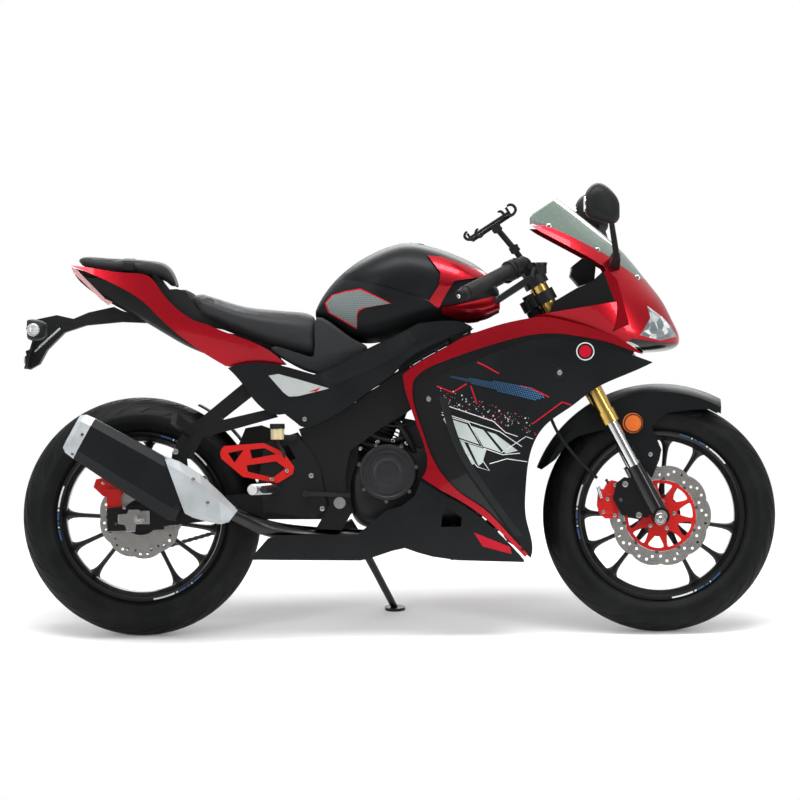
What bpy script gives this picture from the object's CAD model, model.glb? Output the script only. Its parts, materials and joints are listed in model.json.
import bmesh
import bpy
import json
import math
import numpy as np
from mathutils import Matrix, Vector
from mathutils.geometry import delaunay_2d_cdt

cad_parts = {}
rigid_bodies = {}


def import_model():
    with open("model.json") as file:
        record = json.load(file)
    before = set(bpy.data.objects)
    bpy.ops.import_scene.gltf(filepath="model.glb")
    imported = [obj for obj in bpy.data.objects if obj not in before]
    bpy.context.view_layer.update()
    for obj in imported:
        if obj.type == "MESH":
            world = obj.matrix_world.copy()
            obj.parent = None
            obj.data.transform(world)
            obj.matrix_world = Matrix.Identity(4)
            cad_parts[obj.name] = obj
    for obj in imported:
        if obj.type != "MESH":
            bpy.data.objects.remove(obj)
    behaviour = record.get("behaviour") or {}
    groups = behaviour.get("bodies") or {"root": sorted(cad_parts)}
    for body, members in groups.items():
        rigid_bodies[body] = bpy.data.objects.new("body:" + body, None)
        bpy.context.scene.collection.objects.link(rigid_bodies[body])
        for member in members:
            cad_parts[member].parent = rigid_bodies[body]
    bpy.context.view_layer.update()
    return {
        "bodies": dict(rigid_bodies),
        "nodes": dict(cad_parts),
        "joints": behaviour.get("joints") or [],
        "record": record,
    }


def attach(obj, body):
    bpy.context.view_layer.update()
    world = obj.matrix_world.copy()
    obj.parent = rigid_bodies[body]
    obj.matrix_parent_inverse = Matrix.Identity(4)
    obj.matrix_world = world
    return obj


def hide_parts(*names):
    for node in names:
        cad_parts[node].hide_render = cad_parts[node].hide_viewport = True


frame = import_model()
nodes = frame["nodes"]

# the bike is drawn upright in millimetres, x forward from the rear axle, then leant on its stand
bike = {"lean": 10.0, "middle": 663.5, "side": 188.0, "crown": 70.0, "base": 1334.0, "tall": 1000.0}
leanAngle = math.radians(bike["lean"])
parkShift = Vector((-bike["middle"], -bike["side"], bike["crown"] * (1 - math.cos(leanAngle))))
parkMatrix = Matrix.Translation(parkShift / 1000) @ Matrix.Rotation(-leanAngle, 4, "X") @ Matrix.Scale(0.001, 4)
parkTurn = parkMatrix.to_3x3().normalized()
rearAxle = np.array([0.0, 0.0, 307.0])
frontAxle = np.array([1334.0, 0.0, 299.83])
bothSides = ((-1, "_right"), (1, "_left"))  # the rider's right has negative y


def side(x, z, y=0.0):  # shares of the wheelbase and of the height, as the outline was laid out
    return np.array([x * bike["base"], y, z * bike["tall"]])


# shading
class Value:
    # one number or vector inside a shader, so that sums are written as plain expressions
    def __init__(self, finish, socket):
        self.finish = finish
        self.socket = socket

    def math(self, operation, *others):
        values = dict(enumerate((self,) + others))
        return self.finish.node("ShaderNodeMath", {"operation": operation}, values)

    def __add__(self, other):
        return self.math("ADD", other)

    def __sub__(self, other):
        return self.math("SUBTRACT", other)

    def __rsub__(self, other):
        return self.finish.node("ShaderNodeMath", {"operation": "SUBTRACT"}, {0: other, 1: self})

    def __mul__(self, other):
        return self.math("MULTIPLY", other)

    __radd__, __rmul__ = __add__, __mul__

    def __truediv__(self, other):
        return self.math("DIVIDE", other)

    def __pow__(self, other):
        return self.math("POWER", other)

    def least(self, other):
        return self.math("MINIMUM", other)

    def most(self, other):
        return self.math("MAXIMUM", other)

    def size(self):
        return self.math("ABSOLUTE")

    def part(self):
        return self.math("FRACT")

    def above(self, edge, soft=1.0):  # 0 below the edge and 1 above it, over a short ramp
        return self.finish.node("ShaderNodeMapRange", {"clamp": True},
                                {"Value": self, "From Min": edge - soft / 2, "From Max": edge + soft / 2})

    def below(self, edge, soft=1.0):
        return 1 - self.above(edge, soft)


finishes = {}


class Finish:
    # one procedural material: node() adds a node, feed() sets or links a socket
    def __init__(self, name):
        self.name = name
        self.material = bpy.data.materials.new(name)
        self.material.use_nodes = True
        self.tree = self.material.node_tree
        self.tree.nodes.clear()
        self.output = self.tree.nodes.new("ShaderNodeOutputMaterial")

    def feed(self, socket, value):
        if isinstance(value, Value):
            self.tree.links.new(value.socket, socket)
        else:
            socket.default_value = value

    def node(self, kind, settings=None, inputs=None, output=0):
        made = self.tree.nodes.new(kind)
        for key, value in (settings or {}).items():
            setattr(made, key, value)
        for key, value in (inputs or {}).items():
            self.feed(made.inputs[key], value)
        return Value(self, made.outputs[output])

    def other(self, value, output):
        return Value(self, value.socket.node.outputs[output])

    def place(self):  # where a point is, in metres
        return self.node("ShaderNodeTexCoord", output="Object")

    def upright(self):  # where a point is on the upright bike, in millimetres
        shift = Matrix.Rotation(leanAngle, 3, "X") @ -parkShift
        return self.node("ShaderNodeMapping", {"vector_type": "POINT"},
                         {"Vector": self.place(), "Location": shift, "Rotation": (leanAngle, 0, 0),
                          "Scale": (1000, 1000, 1000)})

    def split(self, vector):
        first = self.node("ShaderNodeSeparateXYZ", inputs={0: vector})
        return first, self.other(first, 1), self.other(first, 2)

    def noise(self, scale, detail=2.0, rough=0.5, vector=None):
        return self.node("ShaderNodeTexNoise", inputs={"Vector": vector or self.place(), "Scale": scale,
                                                       "Detail": detail, "Roughness": rough})

    def cells(self, scale, feature="F1"):
        return self.node("ShaderNodeTexVoronoi", {"feature": feature}, {"Vector": self.place(), "Scale": scale})

    def ramp(self, value, low, high, start=0.0, end=1.0):
        return self.node("ShaderNodeMapRange", {"clamp": True},
                         {"Value": value, "From Min": low, "From Max": high, "To Min": start, "To Max": end})

    def blend(self, factor, first, second):  # colours
        mixer = self.tree.nodes.new("ShaderNodeMix")
        mixer.data_type = "RGBA"
        self.feed(mixer.inputs["Factor"], factor)
        for key, colour in ((6, first), (7, second)):
            self.feed(mixer.inputs[key], colour if isinstance(colour, Value) else (*colour, 1.0))
        return Value(self, mixer.outputs[2])

    def bump(self, height, strength, distance):
        return self.node("ShaderNodeBump", inputs={"Height": height, "Strength": strength, "Distance": distance})

    def surface(self, **values):
        # the shader's own sockets, by their names with underscores for blanks; the material is kept under its name
        inputs = {key.replace("_", " "): value for key, value in values.items()}
        for key, value in inputs.items():
            if isinstance(value, tuple) and len(value) == 3:
                inputs[key] = (*value, 1.0)
        made = self.node("ShaderNodeBsdfPrincipled", inputs=inputs)
        self.tree.links.new(made.socket, self.output.inputs["Surface"])
        finishes[self.name] = self.material


def shade(colour, factor, lift=0.0):
    return tuple(min(1.0, c * factor + lift) for c in colour)


def mouldedPlastic(name, colour, roughness, grain=900.0, depth=0.15, gloss=0.15):
    # plain plastic: fine moulded grain, with a slow change of gloss
    f = Finish(name)
    grainNoise = f.noise(grain, 3.0)
    slow = f.noise(9.0, 3.0)
    rough = roughness + (slow - 0.5) * 0.16 + (grainNoise - 0.5) * 0.06
    tone = f.blend(f.ramp(slow, 0.35, 0.7), shade(colour, 0.82), shade(colour, 1.15))
    f.surface(Base_Color=tone, Roughness=rough, Normal=f.bump(grainNoise, depth, 0.0004), Coat_Weight=0.0,
              Coat_Roughness=0.08, Specular_IOR_Level=gloss)


def sprayPaint(name, colour, metallic, flake=1.0, coat=1.0, depth=0.05):
    # lacquered paint: flakes under a clear coat with a slight orange peel
    f = Finish(name)
    shine = f.ramp(f.cells(3800.0), 0.15, 0.75)
    peel = f.noise(140.0, 2.0)
    slow = f.noise(2.2, 2.0)
    tone = f.blend(shine, shade(colour, 1 + 0.28 * flake, 0.012 * flake), shade(colour, 1 - 0.30 * flake))
    tone = f.blend((slow - 0.35) * 0.5, tone, shade(colour, 0.8))
    f.surface(Base_Color=tone, Metallic=metallic, Roughness=0.22 + shine * 0.10, Normal=f.bump(peel, depth, 0.0006),
              Coat_Weight=coat, Coat_Roughness=0.04, Specular_IOR_Level=0.25)


def metal(name, colour, roughness, brushed=None, depth=0.1):
    # bare or anodised metal: fine scratches, drawn out along one axis where it is brushed, and faint stains
    f = Finish(name)
    if brushed:
        stretched = f.node("ShaderNodeMapping", inputs={"Vector": f.place(), "Scale": brushed})
        lines = f.noise(60.0, 4.0, 0.7, stretched)
    else:
        lines = f.noise(700.0, 4.0, 0.7)
    stain = f.noise(14.0, 4.0)
    tone = f.blend(f.ramp(stain, 0.4, 0.75), colour, shade(colour, 0.72))
    rough = roughness + (lines - 0.5) * 0.18 + (stain - 0.5) * 0.14
    f.surface(Base_Color=tone, Metallic=1.0, Roughness=rough, Normal=f.bump(lines, depth, 0.0002))


def castAlloy(name, colour, roughness, metallic=0.6, grain=420.0):
    # sand-cast or shot-blasted surface with pits
    f = Finish(name)
    pits = f.noise(grain, 5.0, 0.65)
    slow = f.noise(16.0, 3.0)
    tone = f.blend(f.ramp(slow, 0.3, 0.75), shade(colour, 0.75), colour)
    f.surface(Base_Color=tone, Metallic=metallic, Roughness=roughness + (slow - 0.5) * 0.2,
              Normal=f.bump(pits, 0.35, 0.0006), Specular_IOR_Level=0.3)


def rubber(name, colour, roughness=0.75, gloss=0.25):
    # rubber with a dusty bloom
    f = Finish(name)
    fine = f.noise(650.0, 4.0)
    bloom = f.noise(11.0, 4.0)
    tone = f.blend(f.ramp(bloom, 0.45, 0.8), colour, shade(colour, 1.7, 0.004))
    f.surface(Base_Color=tone, Roughness=roughness + (bloom - 0.5) * 0.15, Normal=f.bump(fine * 0.4, 0.5, 0.0008),
              Specular_IOR_Level=gloss)


def clearPlastic(name, colour, alpha, roughness=0.05):
    # a moulded lens or screen, seen through by its alpha and denser at a slant
    f = Finish(name)
    slow = f.noise(6.0, 2.0)
    edge = f.node("ShaderNodeLayerWeight", inputs={"Blend": 0.35}, output="Facing")
    f.surface(Base_Color=colour, Roughness=roughness + slow * 0.04, Coat_Weight=1.0, Coat_Roughness=0.02,
              Alpha=f.ramp(edge, 0.0, 1.0, alpha, min(1.0, alpha + 0.35)))


def ridgedLens(name, colour, pitch, glow=0.0):
    # coloured lens with moulded ridges behind a smooth face
    f = Finish(name)
    x, y, z = f.split(f.upright())
    ridges = ((y / pitch).part() - 0.5).size() + ((z / pitch).part() - 0.5).size()
    tone = f.blend(f.ramp(ridges, 0.2, 0.9), shade(colour, 0.45), shade(colour, 1.25))
    f.surface(Base_Color=tone, Roughness=0.16, Normal=f.bump(ridges, 0.35, 0.001), Coat_Weight=1.0,
              Coat_Roughness=0.03, Emission_Color=tone, Emission_Strength=glow)


def spunDisc(name, centre, colour, roughness=0.28):
    # ground steel: rings about the wheel's axle
    f = Finish(name)
    x, y, z = f.split(f.upright())
    radius = ((x - centre[0]) ** 2.0 + (z - centre[2]) ** 2.0) ** 0.5
    rings = f.noise(1.0, 4.0, 0.6, f.node("ShaderNodeCombineXYZ", inputs={0: radius * 2.2, 1: y * 0.2}))
    spots = f.noise(35.0, 3.0)
    tone = f.blend(f.ramp(rings, 0.3, 0.7), shade(colour, 0.72), colour)
    f.surface(Base_Color=tone, Metallic=1.0, Roughness=roughness + (rings - 0.5) * 0.22 + (spots - 0.5) * 0.1,
              Normal=f.bump(rings, 0.25, 0.0003))


paint = {"red": (0.46, 0.0015, 0.012), "brightRed": (0.55, 0.012, 0.010), "satin": (0.0060, 0.0070, 0.0078),
         "soft": (0.010, 0.0105, 0.011), "gloss": (0.003, 0.003, 0.0035), "frame": (0.006, 0.006, 0.0065),
         "engine": (0.014, 0.014, 0.015), "tyre": (0.0042, 0.0046, 0.0049), "gold": (0.72, 0.47, 0.13),
         "chrome": (0.72, 0.73, 0.74), "steel": (0.60, 0.60, 0.61), "silver": (0.50, 0.53, 0.55),
         "alloy": (0.55, 0.55, 0.56), "insert": (0.50, 0.54, 0.52), "disc": (0.62, 0.60, 0.57)}
sprayPaint("candyRed", paint["red"], 0.80, coat=0.32)
sprayPaint("redCast", paint["brightRed"], 0.15, flake=0.2, coat=0.6, depth=0.15)
mouldedPlastic("satinBlack", paint["satin"], 0.42)
mouldedPlastic("softBlack", paint["soft"], 0.50, depth=0.3)
sprayPaint("glossBlack", paint["gloss"], 0.0, flake=0.3, coat=0.45)
sprayPaint("frameBlack", paint["frame"], 0.0, flake=0.4, coat=0.25, depth=0.2)
castAlloy("engineBlack", paint["engine"], 0.45, 0.2)
rubber("tyre", paint["tyre"], 0.52, gloss=0.14)
rubber("grip", (0.009, 0.009, 0.009), 0.6)
metal("gold", paint["gold"], 0.24, (1.0, 1.0, 0.15), depth=0.01)
metal("chrome", paint["chrome"], 0.12, depth=0.0)
metal("steel", paint["steel"], 0.30)
castAlloy("silver", paint["silver"], 0.46, 0.45)
castAlloy("aluminium", paint["alloy"], 0.40, 0.95, 300.0)
sprayPaint("insertGrey", paint["insert"], 0.35, flake=0.5, coat=0.8)
spunDisc("frontDisc", frontAxle, paint["disc"])
spunDisc("rearDisc", rearAxle, paint["disc"])
ridgedLens("orangeLens", (0.80, 0.16, 0.01), 3.0, 0.12)
clearPlastic("screen", (0.10, 0.15, 0.12), 0.50)
metal("mirrorGlass", (0.85, 0.86, 0.88), 0.02, depth=0.0)
metal("pipeBlack", (0.045, 0.044, 0.044), 0.24, depth=0.05)

# what each finish is on; the pieces below take the place of some of these
nodeFinish = {
    "frameBlack": "main_frame swingarm foot_brackets side_stand",
    "steel": "swingarm_bolts shock_absorber drive_chain front_axle rear_sprocket",
    "engineBlack": "engine radiator foot_pegs triple_clamps clip_ons", "pipeBlack": "exhaust_pipe",
    "satinBlack": "muffler fuel_tank side_covers side_fairings belly_pan front_fender rider_seat pillion_pad",
    "silver": "muffler_trim", "candyRed": "tank_panels tail_panels fairing_stripes nose_cowl",
    "softBlack": "undertail plate_bracket rear_indicators instrument_pod mirrors rear_hugger hand_controls "
                 "brake_hose phone_holder",
    "insertGrey": "side_inserts", "screen": "windscreen", "mirrorGlass": "mirror_glass",
    "redCast": "foot_guards rear_brake front_caliper disc_carrier", "gold": "fork_uppers", "chrome": "fork_sliders",
    "glossBlack": "fork_feet front_rim rear_rim", "grip": "grips", "orangeLens": "reflectors",
    "tyre": "front_tyre rear_tyre", "frontDisc": "front_disc", "rearDisc": "rear_disc",
}


def dress(node, finish):
    held = nodes[node].data.materials
    held.clear()
    held.append(finishes[finish])


for finish, names in nodeFinish.items():
    for node in names.split():
        dress(node, finish)
print("finishes made:", len(finishes))

# studio
studio = {"wall": 0.16, "ceiling": 0.85, "floor": 60.0, "distance": 13.0, "lens": 226.5, "roll": 0.466,
          "aim": (667.5, 0.0, 602.0),
          # the soft lamps: name, place, size and power
          "lamps": (("overhead", (0.0, -0.9, 4.2), (4.4, 1.3), 210.0),
                    ("frontLeft", (-3.6, -4.0, 2.2), (0.6, 2.6), 55.0),
                    ("frontRight", (3.8, -3.4, 2.0), (0.6, 2.4), 50.0),
                    ("behind", (0.4, 4.4, 2.6), (4.0, 1.4), 120.0))}


def buildStudio():
    # pale floor that keeps the shadow, and large soft lamps
    floorMesh = bpy.data.meshes.new("floor")
    reach = studio["floor"]
    floorMesh.from_pydata([(-reach, -reach, 0), (reach, -reach, 0), (reach, reach, 0), (-reach, reach, 0)], [],
                          [(0, 1, 2, 3)])
    floor = bpy.data.objects.new("floor", floorMesh)
    bpy.context.collection.objects.link(floor)
    f = Finish("floorPaper")
    grain = f.noise(30.0, 3.0)
    seen = f.node("ShaderNodeLightPath", output="Is Camera Ray")
    glossy = f.node("ShaderNodeLightPath", output="Is Glossy Ray")
    through = f.node("ShaderNodeLightPath", output="Is Transmission Ray")
    paper = f.node("ShaderNodeBsdfDiffuse", inputs={"Color": (0.86, 0.86, 0.86, 1), "Roughness": 0.5 + grain * 0.1})
    direct = seen.most(glossy).most(through)
    lift = f.node("ShaderNodeEmission", inputs={"Color": (1, 1, 1, 1), "Strength": direct * 0.10})
    both = f.node("ShaderNodeAddShader", inputs={0: paper, 1: lift})
    white = f.node("ShaderNodeEmission", inputs={"Color": (1, 1, 1, 1), "Strength": 1.0})
    x, y, z = f.split(f.place())
    away = ((x * 0.8) ** 2.0 + y ** 2.0) ** 0.5
    far = f.ramp(away, 0.75, 1.9) * direct
    mixed = f.node("ShaderNodeMixShader", inputs={0: far, 1: both, 2: white})
    f.tree.links.new(mixed.socket, f.output.inputs["Surface"])
    floorMesh.materials.append(f.material)

    world = bpy.data.worlds.new("studio")
    bpy.context.scene.world = world
    world.use_nodes = True
    f.tree = world.node_tree
    f.tree.nodes.clear()
    seen = f.node("ShaderNodeLightPath", output="Is Camera Ray").most(f.node("ShaderNodeLightPath",
                                                                             output="Is Transmission Ray"))
    glossy = f.node("ShaderNodeLightPath", output="Is Glossy Ray")
    x, y, z = f.split(f.node("ShaderNodeTexCoord", output="Generated"))
    sky = f.ramp(z + y * 0.3, -0.1, 0.85, studio["wall"], studio["ceiling"])  # darker walls under a bright ceiling
    level = sky * (1 + glossy * 0.25) * (1 - seen) + seen
    back = f.node("ShaderNodeBackground", inputs={"Color": (1, 1, 1, 1), "Strength": level})
    out = f.tree.nodes.new("ShaderNodeOutputWorld")
    f.tree.links.new(back.socket, out.inputs["Surface"])

    for name, place, size, power in studio["lamps"]:
        lamp = bpy.data.lights.new(name, "AREA")
        lamp.shape = "RECTANGLE"
        lamp.size, lamp.size_y = size
        lamp.energy = power
        holder = bpy.data.objects.new(name, lamp)
        holder.location = place
        holder.rotation_euler = (Vector((0, 0, 0.5)) - Vector(place)).to_track_quat("-Z", "Y").to_euler()
        bpy.context.collection.objects.link(holder)


def buildCamera():
    # square to the leaning bike's side, far off, with the photograph's slight roll
    lens = bpy.data.cameras.new("camera")
    lens.lens = studio["lens"]
    lens.sensor_width = 36.0
    lens.clip_end = 100.0
    camera = bpy.data.objects.new("camera", lens)
    bpy.context.collection.objects.link(camera)
    aim = parkMatrix @ Vector(studio["aim"])
    back = Vector((0, -math.cos(leanAngle), math.sin(leanAngle)))
    roll = math.radians(studio["roll"])
    right = Vector((1, 0, 0))
    up = back.cross(right)
    upTurned = up * math.cos(roll) + right * math.sin(roll)
    rightTurned = upTurned.cross(back)
    turn = Matrix((rightTurned, upTurned, back)).transposed().to_4x4()
    camera.matrix_world = Matrix.Translation(aim + back * studio["distance"]) @ turn
    bpy.context.scene.camera = camera


buildStudio()
buildCamera()
bpy.context.scene.view_settings.view_transform = "Standard"
print("studio and camera set")


# mesh tools
def leanPoints(points):
    # upright millimetres to the parked bike's metres
    flat = np.asarray(points, float).reshape(-1, 3)
    turn = np.array(parkMatrix.to_3x3())
    return flat @ turn.T + np.array(parkMatrix.translation)


def gridFaces(rows, columns, closeRows=False, closeColumns=False):
    # quads of a grid of points, row after row
    i = np.arange(rows if closeRows else rows - 1)
    j = np.arange(columns if closeColumns else columns - 1)
    i, j = np.meshgrid(i, j, indexing="ij")
    below = (i + 1) % rows
    right = (j + 1) % columns
    return np.stack([i * columns + j, below * columns + j, below * columns + right, i * columns + right],
                    -1).reshape(-1, 4)


def gather(parts):
    # several (points, faces) into one
    points = []
    faces = []
    start = 0
    for piecePoints, pieceFaces in parts:
        flat = np.asarray(piecePoints, float).reshape(-1, 3)
        points.append(flat)
        faces += [[start + int(i) for i in face] for face in pieceFaces]
        start += len(flat)
    return np.concatenate(points), faces


def repeatParts(base, places, frames):
    # one small shape set many times: each copy turned by its frame and moved to its place
    points = np.asarray(base[0], float).reshape(-1, 3)
    places = np.asarray(places, float)
    turned = np.einsum("nj,kij->kni", points, np.asarray(frames, float)) + places[:, None, :]
    faces = [[int(i) + k * len(points) for i in face] for k in range(len(places)) for face in base[1]]
    return turned.reshape(-1, 3), faces


def cappedFaces(rows, columns):
    # a tube of closed rows with a face over each end
    last = (rows - 1) * columns
    ends = [list(range(columns)), [last + k for k in range(columns)]]
    return gridFaces(rows, columns, False, True).tolist() + ends


def superEllipse(count, power):
    # a closed section from ellipse to box as the power falls
    angle = np.linspace(0, 2 * np.pi, count, endpoint=False)
    return tuple(np.sign(part) * np.abs(part) ** power for part in (np.cos(angle), np.sin(angle)))


def frameAlong(direction, up=(0.0, 0.0, 1.0)):
    # turns x, y, z of a small shape so that its z lies along the direction
    along = np.asarray(direction, float) / np.linalg.norm(direction)
    up = np.asarray(up, float)
    if abs(along @ up) > 0.95 * np.linalg.norm(up):
        up = np.array([1.0, 0.0, 0.0])
    first = np.cross(up, along)
    first /= np.linalg.norm(first)
    return np.stack([first, np.cross(along, first), along], -1)


def makePiece(name, shape, body, finish, smooth=35.0):
    # mesh from upright millimetres, welded, with outward faces, riding on its body
    points, faces = shape
    mesh = bpy.data.meshes.new(name)
    mesh.from_pydata(leanPoints(points).tolist(), [], [list(map(int, face)) for face in faces])
    work = bmesh.new()
    work.from_mesh(mesh)
    bmesh.ops.remove_doubles(work, verts=work.verts, dist=2e-6)
    bmesh.ops.dissolve_degenerate(work, edges=work.edges, dist=1e-7)
    bmesh.ops.recalc_face_normals(work, faces=work.faces)
    work.to_mesh(mesh)
    work.free()
    mesh.materials.append(finishes[finish])
    mesh.shade_smooth()
    mesh.set_sharp_from_angle(angle=math.radians(smooth))
    made = bpy.data.objects.new(name, mesh)
    bpy.context.collection.objects.link(made)
    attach(made, body)
    return made


def lathe(profile, centre, direction=(0, 1, 0), count=64, closed=False):
    # profile of (along, radius) pairs turned about the direction through the centre
    profile = np.asarray(profile, float)
    basis = frameAlong(direction)
    angle = np.linspace(0, 2 * np.pi, count, endpoint=False)
    along = profile[None, :, 0, None] * basis[:, 2]
    radial = (np.cos(angle)[:, None] * basis[:, 0] + np.sin(angle)[:, None] * basis[:, 1])[:, None, :]
    points = np.asarray(centre, float) + along + profile[None, :, 1, None] * radial
    return points, gridFaces(count, len(profile), True, closed)


def smoothPath(points, steps=8, closed=False):
    # Catmull-Rom curve through the points
    points = np.asarray(points, float)
    if closed:
        padded = np.concatenate([points[-1:], points, points[:2]])
    else:
        padded = np.concatenate([2 * points[:1] - points[1:2], points, 2 * points[-1:] - points[-2:-1]])
    t = np.linspace(0, 1, steps, endpoint=False)[None, :, None]
    a, b, c, d = (padded[k:len(padded) - 3 + k, None, :] for k in range(4))
    curve = 0.5 * (2 * b + (c - a) * t + (2 * a - 5 * b + 4 * c - d) * t ** 2 + (3 * b - a - 3 * c + d) * t ** 3)
    curve = curve.reshape(-1, points.shape[1])
    return curve if closed else np.concatenate([curve, points[-1:]])


def pathFrames(path, up=(0.0, 0.0, 1.0)):
    # across and rise at each point of a path
    path = np.asarray(path, float)
    along = np.gradient(path, axis=0)
    along /= np.linalg.norm(along, axis=1)[:, None]
    across = np.cross(np.asarray(up, float), along)
    weak = np.linalg.norm(across, axis=1) < 1e-3
    across[weak] = (0, 1, 0)
    across /= np.linalg.norm(across, axis=1)[:, None]
    rise = np.cross(along, across)
    return along, across, rise


def sweep(path, wide, tall=None, power=1.0, count=16, up=(0.0, 0.0, 1.0), caps=True):
    # rounded section (ellipse to box as the power falls) carried along a path
    path = np.asarray(path, float)
    along, across, rise = pathFrames(path, up)
    wide = np.broadcast_to(np.asarray(wide, float), (len(path),))
    tall = wide if tall is None else np.broadcast_to(np.asarray(tall, float), (len(path),))
    u, v = superEllipse(count, power)
    points = (path[:, None, :] + across[:, None, :] * (wide[:, None] * u)[:, :, None]
              + rise[:, None, :] * (tall[:, None] * v)[:, :, None])
    return points, cappedFaces(len(path), count) if caps else gridFaces(len(path), count, False, True)


def roundBlock(centre, half, frame=None, power=0.35, count=24, bevel=0.18):
    # box with rounded edges: a superellipse section that draws in at both ends
    rings = np.array([[-1.0, 1 - bevel * 1.6], [-1 + bevel * 0.3, 1 - bevel * 0.6], [-1 + bevel, 1.0],
                      [1 - bevel, 1.0], [1 - bevel * 0.3, 1 - bevel * 0.6], [1.0, 1 - bevel * 1.6]])
    u, v = superEllipse(count, power)
    local = np.stack([rings[:, 1, None] * u * half[0], rings[:, 1, None] * v * half[1],
                      np.broadcast_to(rings[:, 0, None] * half[2], (len(rings), count))], -1)
    basis = np.eye(3) if frame is None else np.asarray(frame, float)
    return local @ basis.T + np.asarray(centre, float), cappedFaces(len(rings), count)


def drawIn(outline, inset):
    # an outline with each point pulled towards the middle
    middle = outline.mean(0)
    return outline + (middle - outline) / np.linalg.norm(middle - outline, axis=1)[:, None] * inset


def stacked(rings):
    # a closed shape from (x, z) loops, each with its y
    points = np.stack([np.stack([loop[:, 0], np.full(len(loop), y), loop[:, 1]], -1) for loop, y in rings])
    return points, cappedFaces(*points.shape[:2])


def plate(outline, low, high):
    # flat plate from an (x, z) outline in millimetres, between two y values, edges slightly broken
    outline = np.asarray(outline, float)
    cut = min(1.0, (high - low) / 3)
    inset = drawIn(outline, cut)
    return stacked([(inset, low), (outline, low + cut), (outline, high - cut), (inset, high)])


def around(centre, radius, angle, y):
    # points of a circle about a line across the bike
    angle = np.asarray(angle, float)
    return centre + np.stack([radius * np.cos(angle), np.full(len(angle), y), radius * np.sin(angle)], -1)


def boltHead(radius, high, socket=True):
    # cap screw with a sunk hexagon, standing on z = 0
    if socket:
        rings = [(0.0, 1.0), (0.75, 1.0), (0.95, 0.93), (1.0, 0.82), (1.0, 0.55), (0.45, 0.50), (0.45, 0.0)]
    else:
        rings = [(0.0, 1.0), (0.55, 1.0), (0.85, 0.86), (1.0, 0.6), (1.02, 0.0)]
    return lathe([(a * high, r * radius) for a, r in rings], (0, 0, 0), (0, 0, 1), 18)


def boltSet(name, body, finish, places, direction, radius=5.0, high=4.0, socket=True):
    # screws at these upright places, all with one direction, or one direction each
    places = np.asarray(places, float).reshape(-1, 3)
    directions = np.broadcast_to(np.asarray(direction, float), places.shape)
    frames = [frameAlong(d) for d in directions]
    return makePiece(name, repeatParts(boltHead(radius, high, socket), places, frames), body, finish, 40)


def arcPoints(first, middle, last, count):
    # points of the circle through three points of a plane
    first, middle, last = (np.asarray(p, float) for p in (first, middle, last))
    d = 2 * (first[0] * (middle[1] - last[1]) + middle[0] * (last[1] - first[1]) + last[0] * (first[1] - middle[1]))
    squares = [p @ p for p in (first, middle, last)]
    centre = np.array([squares[0] * (middle[1] - last[1]) + squares[1] * (last[1] - first[1])
                       + squares[2] * (first[1] - middle[1]),
                       squares[0] * (last[0] - middle[0]) + squares[1] * (first[0] - last[0])
                       + squares[2] * (middle[0] - first[0])]) / d
    angles = np.unwrap([math.atan2(*(p - centre)[::-1]) for p in (first, middle, last)])
    angle = np.linspace(angles[0], angles[2], count)
    radius = np.linalg.norm(first - centre)
    return centre + radius * np.stack([np.cos(angle), np.sin(angle)], -1)


def smoothStep(value, low, high):
    t = np.clip((value - low) / (high - low), 0, 1)
    return t * t * (3 - 2 * t)


# wheels
wheel = {"front": {"radius": 300.0, "half": 56.0, "crown": 59.0, "rim": 39.0, "axle": frontAxle,
                   "hub": [(-46, 9), (-46, 27), (-44, 29.5)]},
         "rear": {"radius": 307.0, "half": 66.0, "crown": 70.0, "rim": 50.0, "axle": rearAxle,
                  "hub": [(-75.5, 9), (-75.5, 50), (-73.5, 53), (-60, 54), (-48, 50), (-40, 44)]},
         "hub": [(-22, 31), (-14, 40), (-13, 52), (-11.5, 55), (11.5, 55), (13, 52), (14, 40), (22, 31), (44, 29.5),
                 (46, 27), (46, 9)],
         "seat": 209.0, "flange": 219.0, "inner": 193.0, "turns": 754, "pitches": 26, "deep": 4.0, "wide": 2.6,
         # each groove's shift round the tyre, its start and end as shares of the half width, its slope and its width
         "grooves": ((0.0, 0.10, 0.92, 0.0125, 1.0), (0.52, 0.34, 0.97, 0.0065, 1.15), (0.30, 0.02, 0.34, 0.0200, 0.8)),
         "spokeTurns": (84.0, 324.0, 204.0), "spokeStep": 26.0, "spokeFoot": 40.0,
         "reach": [0.0, 0.10, 0.22, 0.36, 0.52, 0.68, 0.80, 0.88, 0.94, 0.98, 1.0],
         "spokeWide": [12.0, 9.5, 7.4, 6.2, 5.8, 6.0, 6.8, 8.6, 12.0, 17.5, 24.0],
         "spokeDeep": [12.5, 12.5, 12.3, 12.0, 11.6, 11.2, 10.9, 10.8, 10.8, 11.4, 12.4]}


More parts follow.
